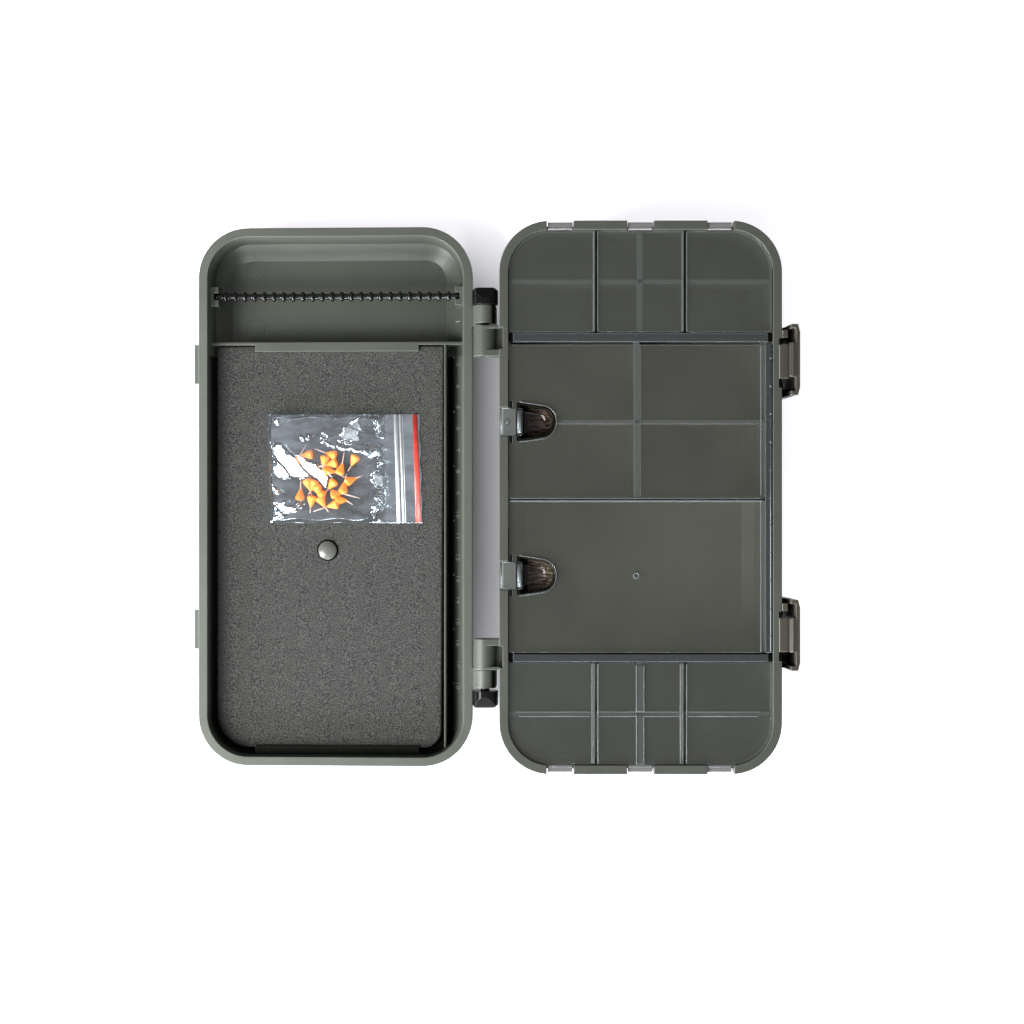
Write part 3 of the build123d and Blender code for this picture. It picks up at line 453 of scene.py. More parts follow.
def film_material():
    """Thin crinkled film: mostly see-through, with a strong shine where it is creased."""
    made, tree = new_material("bag film")
    across = reading(tree, on_bag(0, 0, 0), on_bag(1, 0, 0))
    inputs = {"Vector": place(tree), "Rotation": (0, 0, 0.6), "Scale": (1, 2.6, 1)}
    streaks = noise(tree, 75, 4, 0.6, node(tree, "ShaderNodeMapping", inputs).outputs[0])
    fine = noise(tree, 260)
    over_pins = tuple(on_lid(5.4, 8.1, FOAM_DEPTH - 5.0))
    away = vectors("DISTANCE", place(tree), over_pins)
    creased = times(ramp(streaks, 0.38, 0.66, 0.11, 0.55), ramp(away, 0.012, 0.022, 0.35, 1.1))
    seal = times(ramp(across, -34.0, -33.0, 0.3, 1.0), ramp(across, -17.5, -19.5))
    rim = ramp(calc("ABSOLUTE", across), BAG_HALF_X - 0.7, BAG_HALF_X - 0.2)
    cloudy = plus(creased, ramp(across, 0.0, 30.0, 0.0, 0.14), times(seal, 0.24), times(rim, 0.3))
    return finish(made, color=(0.82, 0.9, 0.95), metal=1.0, rough=0.12, alpha=cloudy,
                  normal=bump(fine, 0.00004))


film = film_material()


def zip_material():
    """The milky ribs of the bag's seal."""
    made, tree = new_material("bag seal plastic")
    return finish(made, color=(0.88, 0.9, 0.92), metal=0.3, rough=0.2,
                  alpha=ramp(noise(tree, 300), 0.3, 0.7, 0.8, 0.98))


zip_clear = zip_material()


def plain_gloss(name, tone, dark, rough, scale=500, glow=0.0, painted_edge_tone=None):
    """Glossy colour with a little mottle, a painted glow of its own colour all over where a glow is
    given, and a painted edge tone where one is given: for the pins a painted shade along their creases."""
    made, tree = new_material(name)
    spots = noise(tree, scale, 3)
    color = blend(ramp(spots, 0.35, 0.65), dark, tone)
    if painted_edge_tone:
        color = blend(edge_mask(tree, 0.0003, 7.0)[0], color, painted_edge_tone)
    return finish(made, color=color, rough=rough, glow=color if glow else tone, glowing=glow,
                  normal=bump(spots, 0.00002))


stripe_red = plain_gloss("red pull line", (0.72, 0.075, 0.05), (0.6, 0.05, 0.04), 0.3)
# the pins carry a painted glow and a painted shade along their creases
pin_orange = plain_gloss("orange foam pins", (1.0, 0.39, 0.045), (1.0, 0.27, 0.02), 0.5, 700, glow=0.44,
                         painted_edge_tone=(0.8, 0.17, 0.01))
shaft_white = plain_gloss("pale pin shafts", (0.95, 0.82, 0.76), (0.8, 0.6, 0.52), 0.3)
pin_steel = plain_gloss("latch pin steel", (0.5, 0.5, 0.5), (0.4, 0.4, 0.4), 0.25)


def dress(material, *names):
    """Gives CAD nodes their material."""
    for name in names:
        slots = nodes[name].data.materials
        slots.clear()
        slots.append(material)


dress(olive, "base_shell")
dress(olive_lid_painted_light, "lid_shell")
dress(olive_latch, "latch_upper", "latch_lower")
dress(black_pin, "hinge_pin_upper", "hinge_pin_lower")
dress(pin_steel, "latch_pin_upper", "latch_pin_lower")
dress(clear_strip, "upper_hinge_strip", "lower_hinge_strip", "side_hinge_strip")
dress(clear_flap, "large_flap_upper", "large_flap_lower")
for part in ("left", "middle", "right"):
    dress(clear_end, "upper_flap_" + part, "lower_flap_" + part)


# ---- foam ----

FOAM_LEFT = -49.6
FOAM_RIGHT = 56.15
FOAM_LOW = -116.5
FOAM_HIGH = 70.2
FOAM_THICKNESS = 9.4


def foam_pad():
    """A slab whose outline is walked at seven levels: rounded corners at its low end, its
    channel side drawn in a little towards the low end, the top's edge rolled over, the
    under edge bevelled to the lid's slopes, and the top closed by rings that shrink to a
    point under the stud, sunk there by a bell of the distance."""
    quarter = np.linspace(0, pi / 2, 10)
    big, small, drawn_in = 15.4, 8.5, 1.1
    low_right = np.stack([FOAM_RIGHT - big + big * np.cos(quarter),
                          FOAM_LOW + big - big * np.sin(quarter)], -1)
    low_left = np.stack([FOAM_LEFT + drawn_in + small - small * np.sin(quarter),
                         FOAM_LOW + small - small * np.cos(quarter)], -1)
    side = np.linspace((FOAM_LEFT + drawn_in, FOAM_LOW + small), (FOAM_LEFT, FOAM_HIGH), 40)[1:]
    top = np.linspace((FOAM_LEFT, FOAM_HIGH), (FOAM_RIGHT, FOAM_HIGH), 24)[1:]
    right = np.linspace((FOAM_RIGHT, FOAM_HIGH), (FOAM_RIGHT, FOAM_LOW + big), 40)[1:-1]
    low = np.linspace(low_right[-1], low_left[0], 22)[1:-1]
    rim = np.concatenate([low_right, low, low_left, side, top, right])
    middle = (rim.min(0) + rim.max(0)) / 2
    size = (rim.max(0) - rim.min(0)) / 2
    inset = np.array([5.4, 0.6, 0.0, 0.0, 0.12, 0.4, 0.9])
    level = np.array([-FOAM_THICKNESS, -4.0, -3.2, -0.9, -0.35, -0.08, 0.0])
    walls = middle + (rim - middle)[None] * (1 - inset[:, None, None] / size)
    share = 1 - np.linspace(0, 1, 34)[1:, None, None] ** 0.9
    cover = STUD + (walls[-1] - STUD)[None] * np.maximum(share, 0.0002)
    under = middle + (walls[0] - middle)[None] * np.array([0.0002, 0.5])[:, None, None]
    plan = np.concatenate([under, walls, cover])
    heights = np.concatenate([[level[0]] * 2, level, [0.0] * len(cover)])[:, None] + 0 * plan[..., 0]
    away = np.hypot(*(plan - STUD).transpose(2, 0, 1))
    dip, spread = 0.3, 6.5
    sunk = dip * np.exp(-((away / spread) ** 2)) * (heights > -0.5)
    points = on_lid(plan[..., 0], plan[..., 1], FOAM_DEPTH - heights + sunk)
    made = piece("foam_pad", points, grid_faces(len(plan), len(rim)), foam, "lid")
    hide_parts("foam_board")


foam_pad()


# ---- hook rail ----

RAIL_Y = 93.0
RAIL_DEPTH = 7.0
KNOTS = 24
KNOT_PITCH = 4.52
RAIL_END = 57.2
RAIL_SIDES = 20


def hook_rail():
    """The rail is a circle carried along x whose radius swells at each knot: a steep
    bell raised to the fourth power gives each knot a round flat top."""
    knots = (np.arange(KNOTS) - (KNOTS - 1) / 2) * KNOT_PITCH
    rows = [knots] + [knots + aside for aside in np.linspace(-1.5, 1.5, 15)]
    x = np.unique(np.concatenate([np.linspace(-RAIL_END, RAIL_END, 90), *rows]))
    near = np.abs(x[:, None] - knots).min(1)
    radius = 1.42 + 0.93 * np.exp(-((near / 0.85) ** 4))
    x = np.concatenate([[x[0]], x, [x[-1]]])
    radius = np.concatenate([[0], radius, [0]])
    turn = circle(RAIL_SIDES)
    aside, up = radius[:, None] * np.cos(turn), radius[:, None] * np.sin(turn)
    points = on_lid(x[:, None], RAIL_Y + aside, RAIL_DEPTH + up)
    faces = grid_faces(len(x), RAIL_SIDES)
    made = piece("hook_rail_knots", points, faces, rail_black, "lid")
    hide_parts("hook_rail")


hook_rail()


# ---- press stud ----


def press_stud():
    """A domed cap on a thin black collar, both profiles turned: the cap's height falls with the
    radius to the power 2.2. The collar's black is a painted shadow in the gap round the cap."""
    edge = 4.2
    r = np.linspace(0, edge, 14)
    cap = np.stack([r, 1.7 - 1.1 * (r / edge) ** 2.2], -1)
    under = np.array([[4.3, 0.45], [edge, 0.2], [4.0, 0.0], [0, 0]])
    collar = [(4.15, 0.02), (4.15, 0.16), (4.85, 0.1), (5.0, 0.02)]
    for name, profile, sides, hollow, material in (
            ("press_stud_cap", np.concatenate([cap, under]), 64, False, stud_grey),
            ("press_stud_ring", collar, 48, True, scoop_lip)):
        x, y, height = turned(profile, sides).transpose(2, 0, 1)
        points = on_lid(STUD[0] + x, STUD[1] + y, FOAM_DEPTH - height)
        made = piece(name, points, grid_faces(len(profile), sides, hollow), material, "lid")
        if not hollow:
            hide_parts("foam_rivet")


press_stud()


# ---- finger scoops ----


def finger_scoop(name, middle_y, grooves):
    """A cup under its outline: at radius share p the floor lies at -depth (1 - p^4.5), so
    it rises round to the rim; the outside is the same shape a wall's thickness lower."""
    neck, foot, other_side = np.array([-44.5, 6.95]), np.array([-55.5, 8.7]), np.array([1, -1])
    deep, wall, groove, grooves_round = 7.6, 0.8, 0.14, 34
    turn = np.linspace(-pi / 2, pi / 2, 25)
    tip = np.stack([neck[0] + 6.35 * np.cos(turn), neck[1] * np.sin(turn)], -1)
    rim = np.concatenate([tip, np.linspace(neck, foot, 8)[1:], np.linspace(foot, foot * other_side, 12)[1:],
                          np.linspace(foot * other_side, neck * other_side, 8)[1:-1]])
    middle = np.array([-48.5, 0.0])
    share = np.concatenate([[0.0001], np.linspace(0.08, 1, 16)])
    inside = middle + (rim - middle)[None] * share[:, None, None]
    depth = deep * (1 - share ** 4.5)
    z_in = np.broadcast_to(-depth[:, None], inside.shape[:2]).copy()
    if grooves:
        angle = np.arctan2(inside[..., 1], -36.0 - inside[..., 0])
        fade = np.clip((share - 0.15) / 0.2, 0, 1) * np.clip((1 - share) / 0.25, 0, 1)
        z_in += groove * np.cos(angle * grooves_round) * fade[:, None]
    inner = np.concatenate([inside, z_in[..., None]], -1)
    outer = inner[::-1].copy()
    outer[..., 2] -= wall * (1 - share[::-1, None] ** 6)
    shell = np.concatenate([inner, outer])
    points = on_row(shell[..., 0], middle_y + shell[..., 1], FLAP_TOP - 0.1 + shell[..., 2])
    flap = name.replace("finger_scoop", "large_flap")
    material = scoop_lower if grooves else scoop_upper
    made = piece(name + "_cup", points, grid_faces(len(shell), len(rim)), material, flap)
    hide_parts(name)
    out = unit(rim - middle)
    # The black lip is widest under the tab, where it is painted shadow.
    wide = np.where(rim[:, :1] < -55, 2.2, 0.35 if grooves else 0.9)
    lip = np.stack([rim - out * wide, rim - out * wide, rim + out * 0.18, rim + out * 0.18])
    level = np.array([-1.3, -0.05, 0.02, -1.3])[:, None]
    points = on_row(lip[..., 0], middle_y + lip[..., 1], FLAP_TOP + level)
    faces = grid_faces(len(lip), len(rim), True)
    piece(name + "_lip", points, faces, scoop_lip, flap, smooth=False)
    low = np.array([-1.2, 0.1, 0.3, 0.1, -1.2])[:, None]
    low = low[:, :, None] * np.array([0, 0, 0.5])
    edge = np.stack([rim + out * (0.16 + w) for w in (0.0, 0.05, 0.4, 0.85, 0.9)])
    edge = np.concatenate([edge, np.full((*edge.shape[:2], 1), FLAP_TOP - 0.04)], -1) + np.maximum(low, -0.02)
    keep = rim[:, 0] > -55.2
    edge = np.roll(edge[:, keep], -int(np.argmax(np.diff(np.flatnonzero(keep)) > 1)) - 1, axis=1)
    points = on_row(edge[..., 0], middle_y + edge[..., 1], edge[..., 2])
    across, along = edge.shape[:2]
    ends = [[row * along + last for row in range(across)] for last in (0, along - 1)]
    piece(name + "_rim", points, grid_faces(across, along, True, False) + ends, clear_dim, flap)
    y, z = middle_y, FLAP_TOP - 0.05
    # The tab's bar and outlines are painted bright as highlights.
    edges = [(-54.3, y - 5.1, -54.3, y + 5.1, 1.9, z, 0.5), (-62.4, y - 6.1, -62.4, y + 6.1, 0.5, z, 0.12)]
    edges += [(-62.4, y + side, -55.6, y + side, 0.4, z, 0.12) for side in (-6.0, 6.0)]
    bands(name + "_tab_edges", edges, clear_tab_highlight, flap, rounded=True)
    face = (-58.9, y - 5.7, -58.9, y + 5.7, 6.4, FLAP_TOP - 0.02, 0.06)
    bands(name + "_tab_face", [face], clear_face, flap)


finger_scoop("finger_scoop_upper", 33.95, False)
finger_scoop("finger_scoop_lower", -35.0, True)


# ---- marks on the flaps, catches, strips and dividers ----


# bands on each flap: upright ones by x, low and high end, width and rise, then level ones
# by y, left and right end, width and rise
FLAP_BANDS = {
    "large_flap_upper": ([(54.0, 1.0, 68.2, 0.55, 0.15), (-2.85, 0.6, 68.0, 0.32, 0.05),
                          (-0.1, 0.6, 68.0, 0.32, 0.05)],
                         [(-0.4, -58.5, 53.4, 0.3, 0.05), (33.0, -38.0, 53.4, 0.3, 0.05)]),
    "large_flap_lower": ([(54.0, -69.2, -1.5, 0.55, 0.15)], [(-1.6, -58.5, 55.0, 0.5, 0.1)]),
    "upper_flap_left": ([(-20.9, 74.5, 119.2, 0.9, 0.06)], []),
    "upper_flap_middle": ([(-19.15, 74.5, 119.2, 0.45, 0.06), (18.85, 74.5, 119.2, 0.75, 0.06)], []),
    "upper_flap_right": ([(20.75, 74.5, 119.2, 0.45, 0.06)], []),
    "lower_flap_left": ([(-21.7, -119.2, -74.6, 0.5, 0.25), (-20.85, -119.2, -74.6, 0.8, 0.08)],
                        [(-96.1, -56.0, -22.4, 0.4, 0.06), (-98.1, -54.5, -22.4, 0.45, 0.1)]),
    "lower_flap_middle": ([(-19.0, -119.2, -74.6, 0.6, 0.12), (17.9, -119.2, -74.6, 0.55, 0.25),
                           (18.8, -119.2, -74.6, 0.8, 0.08), (-0.1, -96.0, -75.4, 3.4, 0.12),
                           (-0.1, -119.6, -98.0, 3.4, 0.12), (-1.8, -96.2, -75.2, 0.5, 0.35),
                           (-1.8, -119.6, -97.8, 0.5, 0.35), (1.55, -96.2, -75.2, 0.4, 0.2),
                           (1.55, -119.6, -97.8, 0.4, 0.2)],
                          [(-96.1, -18.4, 17.2, 0.4, 0.06), (-98.1, -18.4, 17.2, 0.45, 0.1)]),
    "lower_flap_right": ([(20.7, -119.2, -74.6, 0.5, 0.12)],
                         [(-96.1, 21.4, 53.8, 0.4, 0.06), (-98.1, 21.4, 53.0, 0.45, 0.1)]),
}


def flap_bands():
    """Low bands along the flaps' edges, painted bright as highlights, and dim bars over the lower middle
    flap.
    """
    z = FLAP_TOP - 0.04
    for flap, (upright, level) in FLAP_BANDS.items():
        lines = [(x, low, x, high, width, z, rise) for x, low, high, width, rise in upright]
        lines += [(left, y, right, y, width, z, rise) for y, left, right, width, rise in level]
        for kind, some, material in (("_edges", [line for line in lines if line[4] < 2], clear_edge_highlight),
                                     ("_bars", [line for line in lines if line[4] > 2], clear_dim)):
            if some:
                bands(flap + kind, some, material, flap)


flap_bands()


def ring(name, middle, radius, tube, body, material, to_row=on_row):
    """A thin ring lying on a face: a circle carried round a circle."""
    around, across = 48, 8
    a, b = circle(around)[:, None], circle(across)
    out = radius + tube * np.cos(b)
    x, y, z = middle
    points = to_row(x + out * np.cos(a), y + out * np.sin(a), z + tube * np.sin(b) + 0 * a)
    piece(name, points, grid_faces(around, across, True), material, body)


# The gate mark and the dimple's pip are painted bright as highlights.
ring("gate_mark", (-1.9, -35.0, FLAP_TOP), 1.2, 0.3, "large_flap_lower", clear_edge_highlight)
ring("tab_dimple", (-59.9, 33.6, FLAP_TOP), 1.15, 0.28, "large_flap_upper", clear_strip)
ring("tab_dimple_pip", (-59.9, 33.6, FLAP_TOP), 0.32, 0.28, "large_flap_upper", clear_tab_highlight)
for number, (x, y) in enumerate(((40.0, 106.2), (-41.6, 106.2), (40.0, 79.2), (-41.6, 79.2))):
    ring(f"ejector_ring_{number + 1}", (x, y, FLOOR_DEPTH), 4.3, 0.1, "lid", olive, on_lid)


def end_tabs():
    """Pale faces on the end flaps' tabs, each with a line along its inner side painted lighter as a
    highlight.
    """
    strips = (("_tab_face", 121.5, 3.3, -0.02, pale_tab), ("_tab_line", 120.7, 0.45, 0.03, clear_tab_highlight))
    for end, side in (("upper", 1), ("lower", -1)):
        for part, middle in (("left", -36.05), ("middle", -0.25), ("right", 35.15)):
            flap = f"{end}_flap_{part}"
            for kind, y, width, lift, material in strips:
                line = (middle - 5.5, side * y, middle + 5.5, side * y, width, FLAP_TOP + lift, 0.06)
                bands(flap + kind, [line], material, flap)


end_tabs()


def latch_catches():
    """Plates round each latch: the catch's face and its lit left edge, and black bands as painted
    shadow in the windows above and below it and on the floors under the windows."""
    rim, deep = 46.02, 30.0
    plates, windows = [], []
    for middle in (LATCH_Y, -LATCH_Y):
        face = middle - 0.45
        plates += [(64.1, face - 7.45, 64.1, face + 7.45, 4.2, rim, 0.08),
                   (64.7, middle + 10.3, 64.7, middle + 13.8, 2.6, rim, 0.05)]
        # the windows are black bands of painted shadow
        for low, high in ((-13.8, -8.1), (7.6, 13.8)):
            windows.append((64.75, middle + low, 64.75, middle + high, 2.5, deep, 0.3))
        windows += [(62.65, middle - 12.1, 62.65, middle - 8.1, 1.5, rim, 0.05),
                    (62.65, middle + 7.3, 62.65, middle + 10.0, 1.5, rim, 0.05)]
    bands("latch_catch_faces", plates, catch_olive, "base")
    bands("latch_window_painted_shadows", windows, shadow_black, "base")


latch_catches()


def strip_nubs():
    """Low round nubs in a row on the side hinge strip, 12.5 mm apart, and its edge, both painted
    bright as highlights.
    """
    nub = dome(0.55, 0.35, 6)
    y = np.arange(-62.5, 63, 12.5)
    places = np.stack([np.full(len(y), 58.4), y, np.full(len(y), FLAP_TOP)], -1)
    faces = grid_faces(len(nub), DOME_SIDES, count=len(y))
    piece("strip_nubs", (places[:, None, None] + nub[None]) * MM, faces, clear_edge_highlight, "base")
    bands("strip_edge", [(58.3, -69.0, 58.3, 68.0, 0.4, FLAP_TOP - 0.03, 0.1)], clear_edge_highlight, "base",
          rounded=True)


strip_nubs()


def divider_tops():
    """Clear caps on the dividers' tops, seen through the flaps, and black bands as painted
    shadow in the seams between flaps, strips and rim."""
    caps = [(-1.5, -0.4, -1.5, 70.4, 2.7), (-37.6, 33.95, 55.0, 33.95, 1.8)]
    # the seams are black bands of painted shadow
    seams = [(-37.6, 35.1, 55.0, 35.1, 0.4), (-0.1, -74.2, -0.1, -119.5, 4.6)]
    for side in (1, -1):
        caps.append((-0.2, side * 74.2, -0.2, side * 119.5, 2.6))
        for a, b in ((-58.5, -20.6), (-19.2, 19.2), (20.6, 58.5)):
            caps.append((a, side * 97.0, b, side * 97.0, 2.0))
        seams.append((-59.05, side * 38.0 - 30.5, -59.05, side * 38.0 + 24.0, 0.5))
    seams += [(a, y, b, y, 0.35) for y in (-95.9, -98.1) for a, b in ((-58.5, -20.6), (20.6, 58.5))]
    caps = [(*line, DIVIDER_TOP, 0.03) for line in caps]
    seams = [(*line, DIVIDER_TOP, 0.025) for line in seams]
    seams += [(-58.4, -0.85, 55.5, -0.85, 0.48, 44.6, 0.55), (59.2, -69.0, 59.2, 68.3, 0.7, 45.25, 0.09),
              (59.25, 74.3, 59.25, 103.0, 0.6, 45.2, 0.09), (-59.2, 74.3, -59.2, 103.0, 0.35, 45.2, 0.09),
              (-56.8, -70.0, 56.8, -70.0, 0.75, 45.2, 0.08)]
    seams += [(x, 74.0, x, 119.5, 0.9, 45.1, 0.1) for x in (-19.9, 19.9)]
    seams += [(x, y - 1.9, x, y + 1.9, 1.9, 44.9, 0.1) for x in (-58.3, 58.3) for y in (71.7, -71.7)]
    bands("divider_caps", caps, clear_cap, "base")
    bands("seam_painted_shadows", seams, shadow_black, "base")


divider_tops()


# ---- ruler ----


FIRST_MARK = 81.8
MARK_PITCH = 9.98
INCHES = 65.3 - 25.4 * np.arange(7)


def ruler_numbers():
    """Plain numbers at every centimetre down the slope beside the channel, raised a
    little, and a dot at every inch. The slope runs in 7.0 mm and down 6.1 mm."""
    run, fall = 7.0, 6.1
    parts, faces, count = [], [], 0
    for number in range(1, 19):
        curve = bpy.data.curves.new("number", "FONT")
        curve.body = str(number)
        curve.size = 3.7
        curve.extrude = 0.09
        curve.offset = 0.04
        curve.align_x = "CENTER"
        curve.resolution_u = 3
        text = bpy.data.objects.new("number", curve)
        mesh = bpy.data.meshes.new_from_object(text)
        right, up, raised = np.array([corner.co for corner in mesh.vertices]).T
        share = (up + 1.1) / np.hypot(run, fall) + 0.5
        x = -50.5 - share * run
        depth = FLOOR_DEPTH - share * fall
        y = FIRST_MARK - MARK_PITCH * (number - 1) - right
        parts.append(on_lid(x + raised * 0.6, y, depth - raised * 0.8))
        faces += [[i + count for i in f.vertices] for f in mesh.polygons]
        count += len(right)
        bpy.data.objects.remove(text)
        bpy.data.curves.remove(curve)
        bpy.data.meshes.remove(mesh)
    piece("ruler_numbers", np.concatenate(parts), faces, number_tone, "lid", smooth=False)
    dot = dome(0.4, 0.3, 5)
    points = on_lid(-53.9 + dot[..., 0], INCHES[:, None, None] + dot[..., 1], 14.5 - dot[..., 2])
    faces = grid_faces(len(dot), DOME_SIDES, count=len(INCHES))
    piece("inch_dots", points, faces, number_tone, "lid")


ruler_numbers()


# ---- bag of pins ----

# wide end x and y, tip x and y, shaft end x and y, height of the axis, on the shut lid
PINS = np.array([
    (11.8, 19.8, 16.1, 19.3, 19.0, 19.0, 2.2), (19.5, 15.3, 17.5, 18.6, 14.2, 24.5, 2.1),
    (0.6, 19.3, 5.2, 20.4, 10.3, 22.4, 2.6), (5.3, 18.5, 6.3, 14.2, 7.0, 11.0, 2.1),
    (0.3, 15.8, 4.1, 14.9, 8.5, 14.0, 2.9), (5.3, 12.1, 1.1, 11.7, -3.7, 9.1, 2.8),
    (-1.5, 11.1, -2.6, 15.3, -3.5, 21.6, 2.3), (-4.9, 7.0, -8.6, 8.6, -12.0, 10.0, 2.1),
    (-8.9, 18.7, -6.9, 14.7, -5.0, 11.9, 2.1), (1.1, 7.1, 3.6, 4.1, 6.0, 1.5, 2.2),
    (-3.0, 2.5, -3.8, 6.9, -4.5, 10.8, 2.7), (2.0, 1.1, -2.4, 1.7, -10.8, -0.6, 2.3),
    (13.8, 7.7, 12.7, 3.9, 11.8, 0.5, 2.1), (10.0, 7.1, 11.3, 4.3, 13.5, 1.1, 2.4),
    (6.3, 0.6, 10.3, 3.8, 13.0, 6.0, 2.3), (17.2, -0.9, 16.8, 3.8, 16.9, 8.0, 2.1),
    (11.5, -0.1, 12.1, -4.4, 12.6, -7.5, 2.1), (7.8, -0.6, 5.6, -4.3, 4.0, -7.0, 2.1),
    (-0.1, -3.4, 4.8, -4.6, 11.1, -6.8, 2.5), (-0.1, -1.6, -4.9, -1.6, -7.3, -3.5, 2.2),
    (9.2, 4.7, 7.8, 1.7, 5.3, -0.5, 2.9),
])
HEAD_SIDES = 11
SHAFT_SIDES = 8
SHAFT_ROOT = 4.3


def pins():
    """Each pin is a profile turned about its own axis: a cone with a domed wide end, and
    a thin shaft from its tip. All pins are worked out together."""
    wide, tip, end = PINS[:, 0:2], PINS[:, 2:4], PINS[:, 4:6]
    along = unit(tip - wide)
    side = np.stack([-along[:, 1], along[:, 0]], -1)
    head = np.array([(0, -0.75), (0.9, -0.7), (1.6, -0.5), (2.05, -0.15), (2.2, 0.35), (2.1, 0.9),
                     (1.5, 2.3), (0.95, 3.5), (0.55, 4.4), (0.35, 4.75), (0, 4.8)])
    turn = circle(HEAD_SIDES) + 0.2
    radius, reach = head.T
    plan = (wide[:, None, None] + along[:, None, None] * reach[None, :, None, None]
            + side[:, None, None] * (radius[:, None] * np.cos(turn))[None, ..., None])
    height = PINS[:, 6, None, None] - 0.15 * reach[None, :, None] + (radius[:, None] * np.sin(turn))[None]
    height = np.clip(height, 0.12, 5.0)
    points = on_lid(plan[..., 0], plan[..., 1], FOAM_DEPTH - height)
    faces = grid_faces(len(head), HEAD_SIDES, count=len(PINS))
    heads = piece("pin_heads", points, faces, pin_orange, "lid", smooth=False)
    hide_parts("foam_pins")
    root = wide + along * SHAFT_ROOT
    path = np.stack([root, root * 0.35 + end * 0.65, end], 1)
    along = unit(end - root)
    side = np.stack([-along[:, 1], along[:, 0]], -1)
    turn = circle(SHAFT_SIDES)
    thin = np.array([0, 0.3, 0.28, 0.22, 0])
    path = path[:, [0, 0, 1, 2, 2]]
    plan = path[:, :, None] + side[:, None, None] * (thin[:, None] * np.cos(turn))[None, ..., None]
    rise = np.array([1.7, 1.7, 1.1, 0.5, 0.5])
    height = rise[None, :, None] + (PINS[:, 6, None, None] - 2.1) + (thin[:, None] * np.sin(turn))[None]
    points = on_lid(plan[..., 0], plan[..., 1], FOAM_DEPTH - height)
    faces = grid_faces(len(thin), SHAFT_SIDES, count=len(PINS))
    piece("pin_shafts", points, faces, shaft_white, "lid")


pins()


def step(value, low, high):
    """0 below low, 1 above high, smooth between."""
    t = np.clip((value - low) / (high - low), 0, 1)
    return t * t * (3 - 2 * t)


FALL = 24
PATCH_SHIFT = 2.0
# crumpled patches of the film: corners from the bag's middle, as it is seen. The bright
# ones face the key light, the soft ones a dim card beside it.
BRIGHT_PATCHES = (
    ((-32.8, 23.9), (-30.2, 21.9), (-31.8, 20.3), (-32.4, 21.3)),
    ((-34.1, 12.1), (-29.2, 10.1), (-28.2, 6.5), (-22.6, 5.2), (-19.3, 3.9), (-14.7, 2.2), (-12.1, 0.2),
     (-8.8, -4.0), (-9.4, -7.6), (-10.1, -9.3), (-11.7, -7.6), (-13.4, -5.0), (-16.0, -4.0), (-22.6, -4.4),
     (-26.5, -4.0), (-33.4, -4.4), (-33.8, 2.2), (-34.1, 8.8)),
    ((-34.0, -16.2), (-29.8, -15.5), (-30.5, -17.2), (-25.2, -17.2), (-20.6, -17.2), (-23.9, -19.2),
     (-29.2, -20.8), (-32.4, -22.8), (-34.1, -23.8), (-33.8, -20.1)),
    ((-34.1, -9.0), (-31.5, -10.3), (-33.0, -11.5), (-34.1, -11.0)),
)
SOFT_PATCHES = (
    ((-21.3, 15.0), (-19.3, 14.7), (-19.3, 13.1), (-20.9, 13.4)),
    ((-18.3, 15.4), (-17.0, 15.4), (-17.3, 13.1), (-18.3, 13.4)),
    ((-12.4, 16.4), (-9.4, 17.0), (-9.1, 13.4), (-11.4, 12.7)),
    ((6.0, 24.6), (6.7, 21.9), (5.7, 16.7), (6.7, 12.7), (3.7, 12.1), (-0.2, 12.1), (-2.9, 13.1),
     (-3.5, 15.4), (-1.5, 18.0), (1.7, 20.6), (4.4, 23.3)),
    ((12.9, 24.6), (14.2, 24.2), (16.2, 20.0), (16.9, 14.7), (14.9, 15.4), (13.3, 19.3), (12.8, 22.0)),
    ((-11.7, 12.7), (-5.5, 10.4), (5.0, 8.8), (9.0, 8.1), (9.0, 7.5), (4.8, 8.0), (-5.6, 9.6), (-12.0, 11.9)),
    ((7.7, 6.2), (13.6, 9.1), (16.5, 7.2), (16.9, 4.9), (13.6, 4.9), (9.7, 5.2)),
    ((13.6, 4.2), (16.9, 3.5), (16.5, 0.9), (14.9, 1.2)),
    ((10.9, -1.1), (15.9, -2.4), (17.5, -10.3), (14.9, -9.3), (12.3, -7.6), (11.3, -5.0)),
    ((12.3, -13.6), (15.5, -12.9), (16.5, -14.2), (15.9, -16.9), (13.6, -15.5)),
    ((10.6, -16.9), (14.2, -18.2), (12.3, -23.4), (11.3, -20.8)),
    ((-24.5, -16.0), (-21.3, -16.6), (-22.6, -18.2), (-25.0, -17.4)),
)


def patch_mask(x, y, patches):
    """1 inside any patch: a point is inside where a line from it crosses the corners'
    edges an odd number of times. The edges are roughened by sine waves, and softened by
    taking the mean of each point and its neighbours four times over."""
    x = x + 0.35 * np.sin(y * 2.1) + 0.2 * np.sin(y * 5.3 + 1.0) + 0.5 * np.sin(y * 0.8 + x * 0.5)
    y = y + 0.35 * np.sin(x * 1.9) + 0.2 * np.sin(x * 4.7 + 2.0) + 0.4 * np.sin(x * 0.9 - y * 0.4)
    mask = np.zeros(x.shape)
    for corners in patches:
        odd = np.zeros(x.shape, bool)
        for (ax, ay), (bx, by) in zip(corners, corners[1:] + corners[:1]):
            odd ^= ((ay > y) != (by > y)) & (x < (bx - ax) * (y - ay) / (by - ay + 1e-9) + ax)
        mask = np.maximum(mask, odd)
    for axis in (0, 1, 0, 1, 0, 1, 0, 1):
        mask = (np.roll(mask, 1, axis) + np.roll(mask, -1, axis) + mask) / 3
    return mask


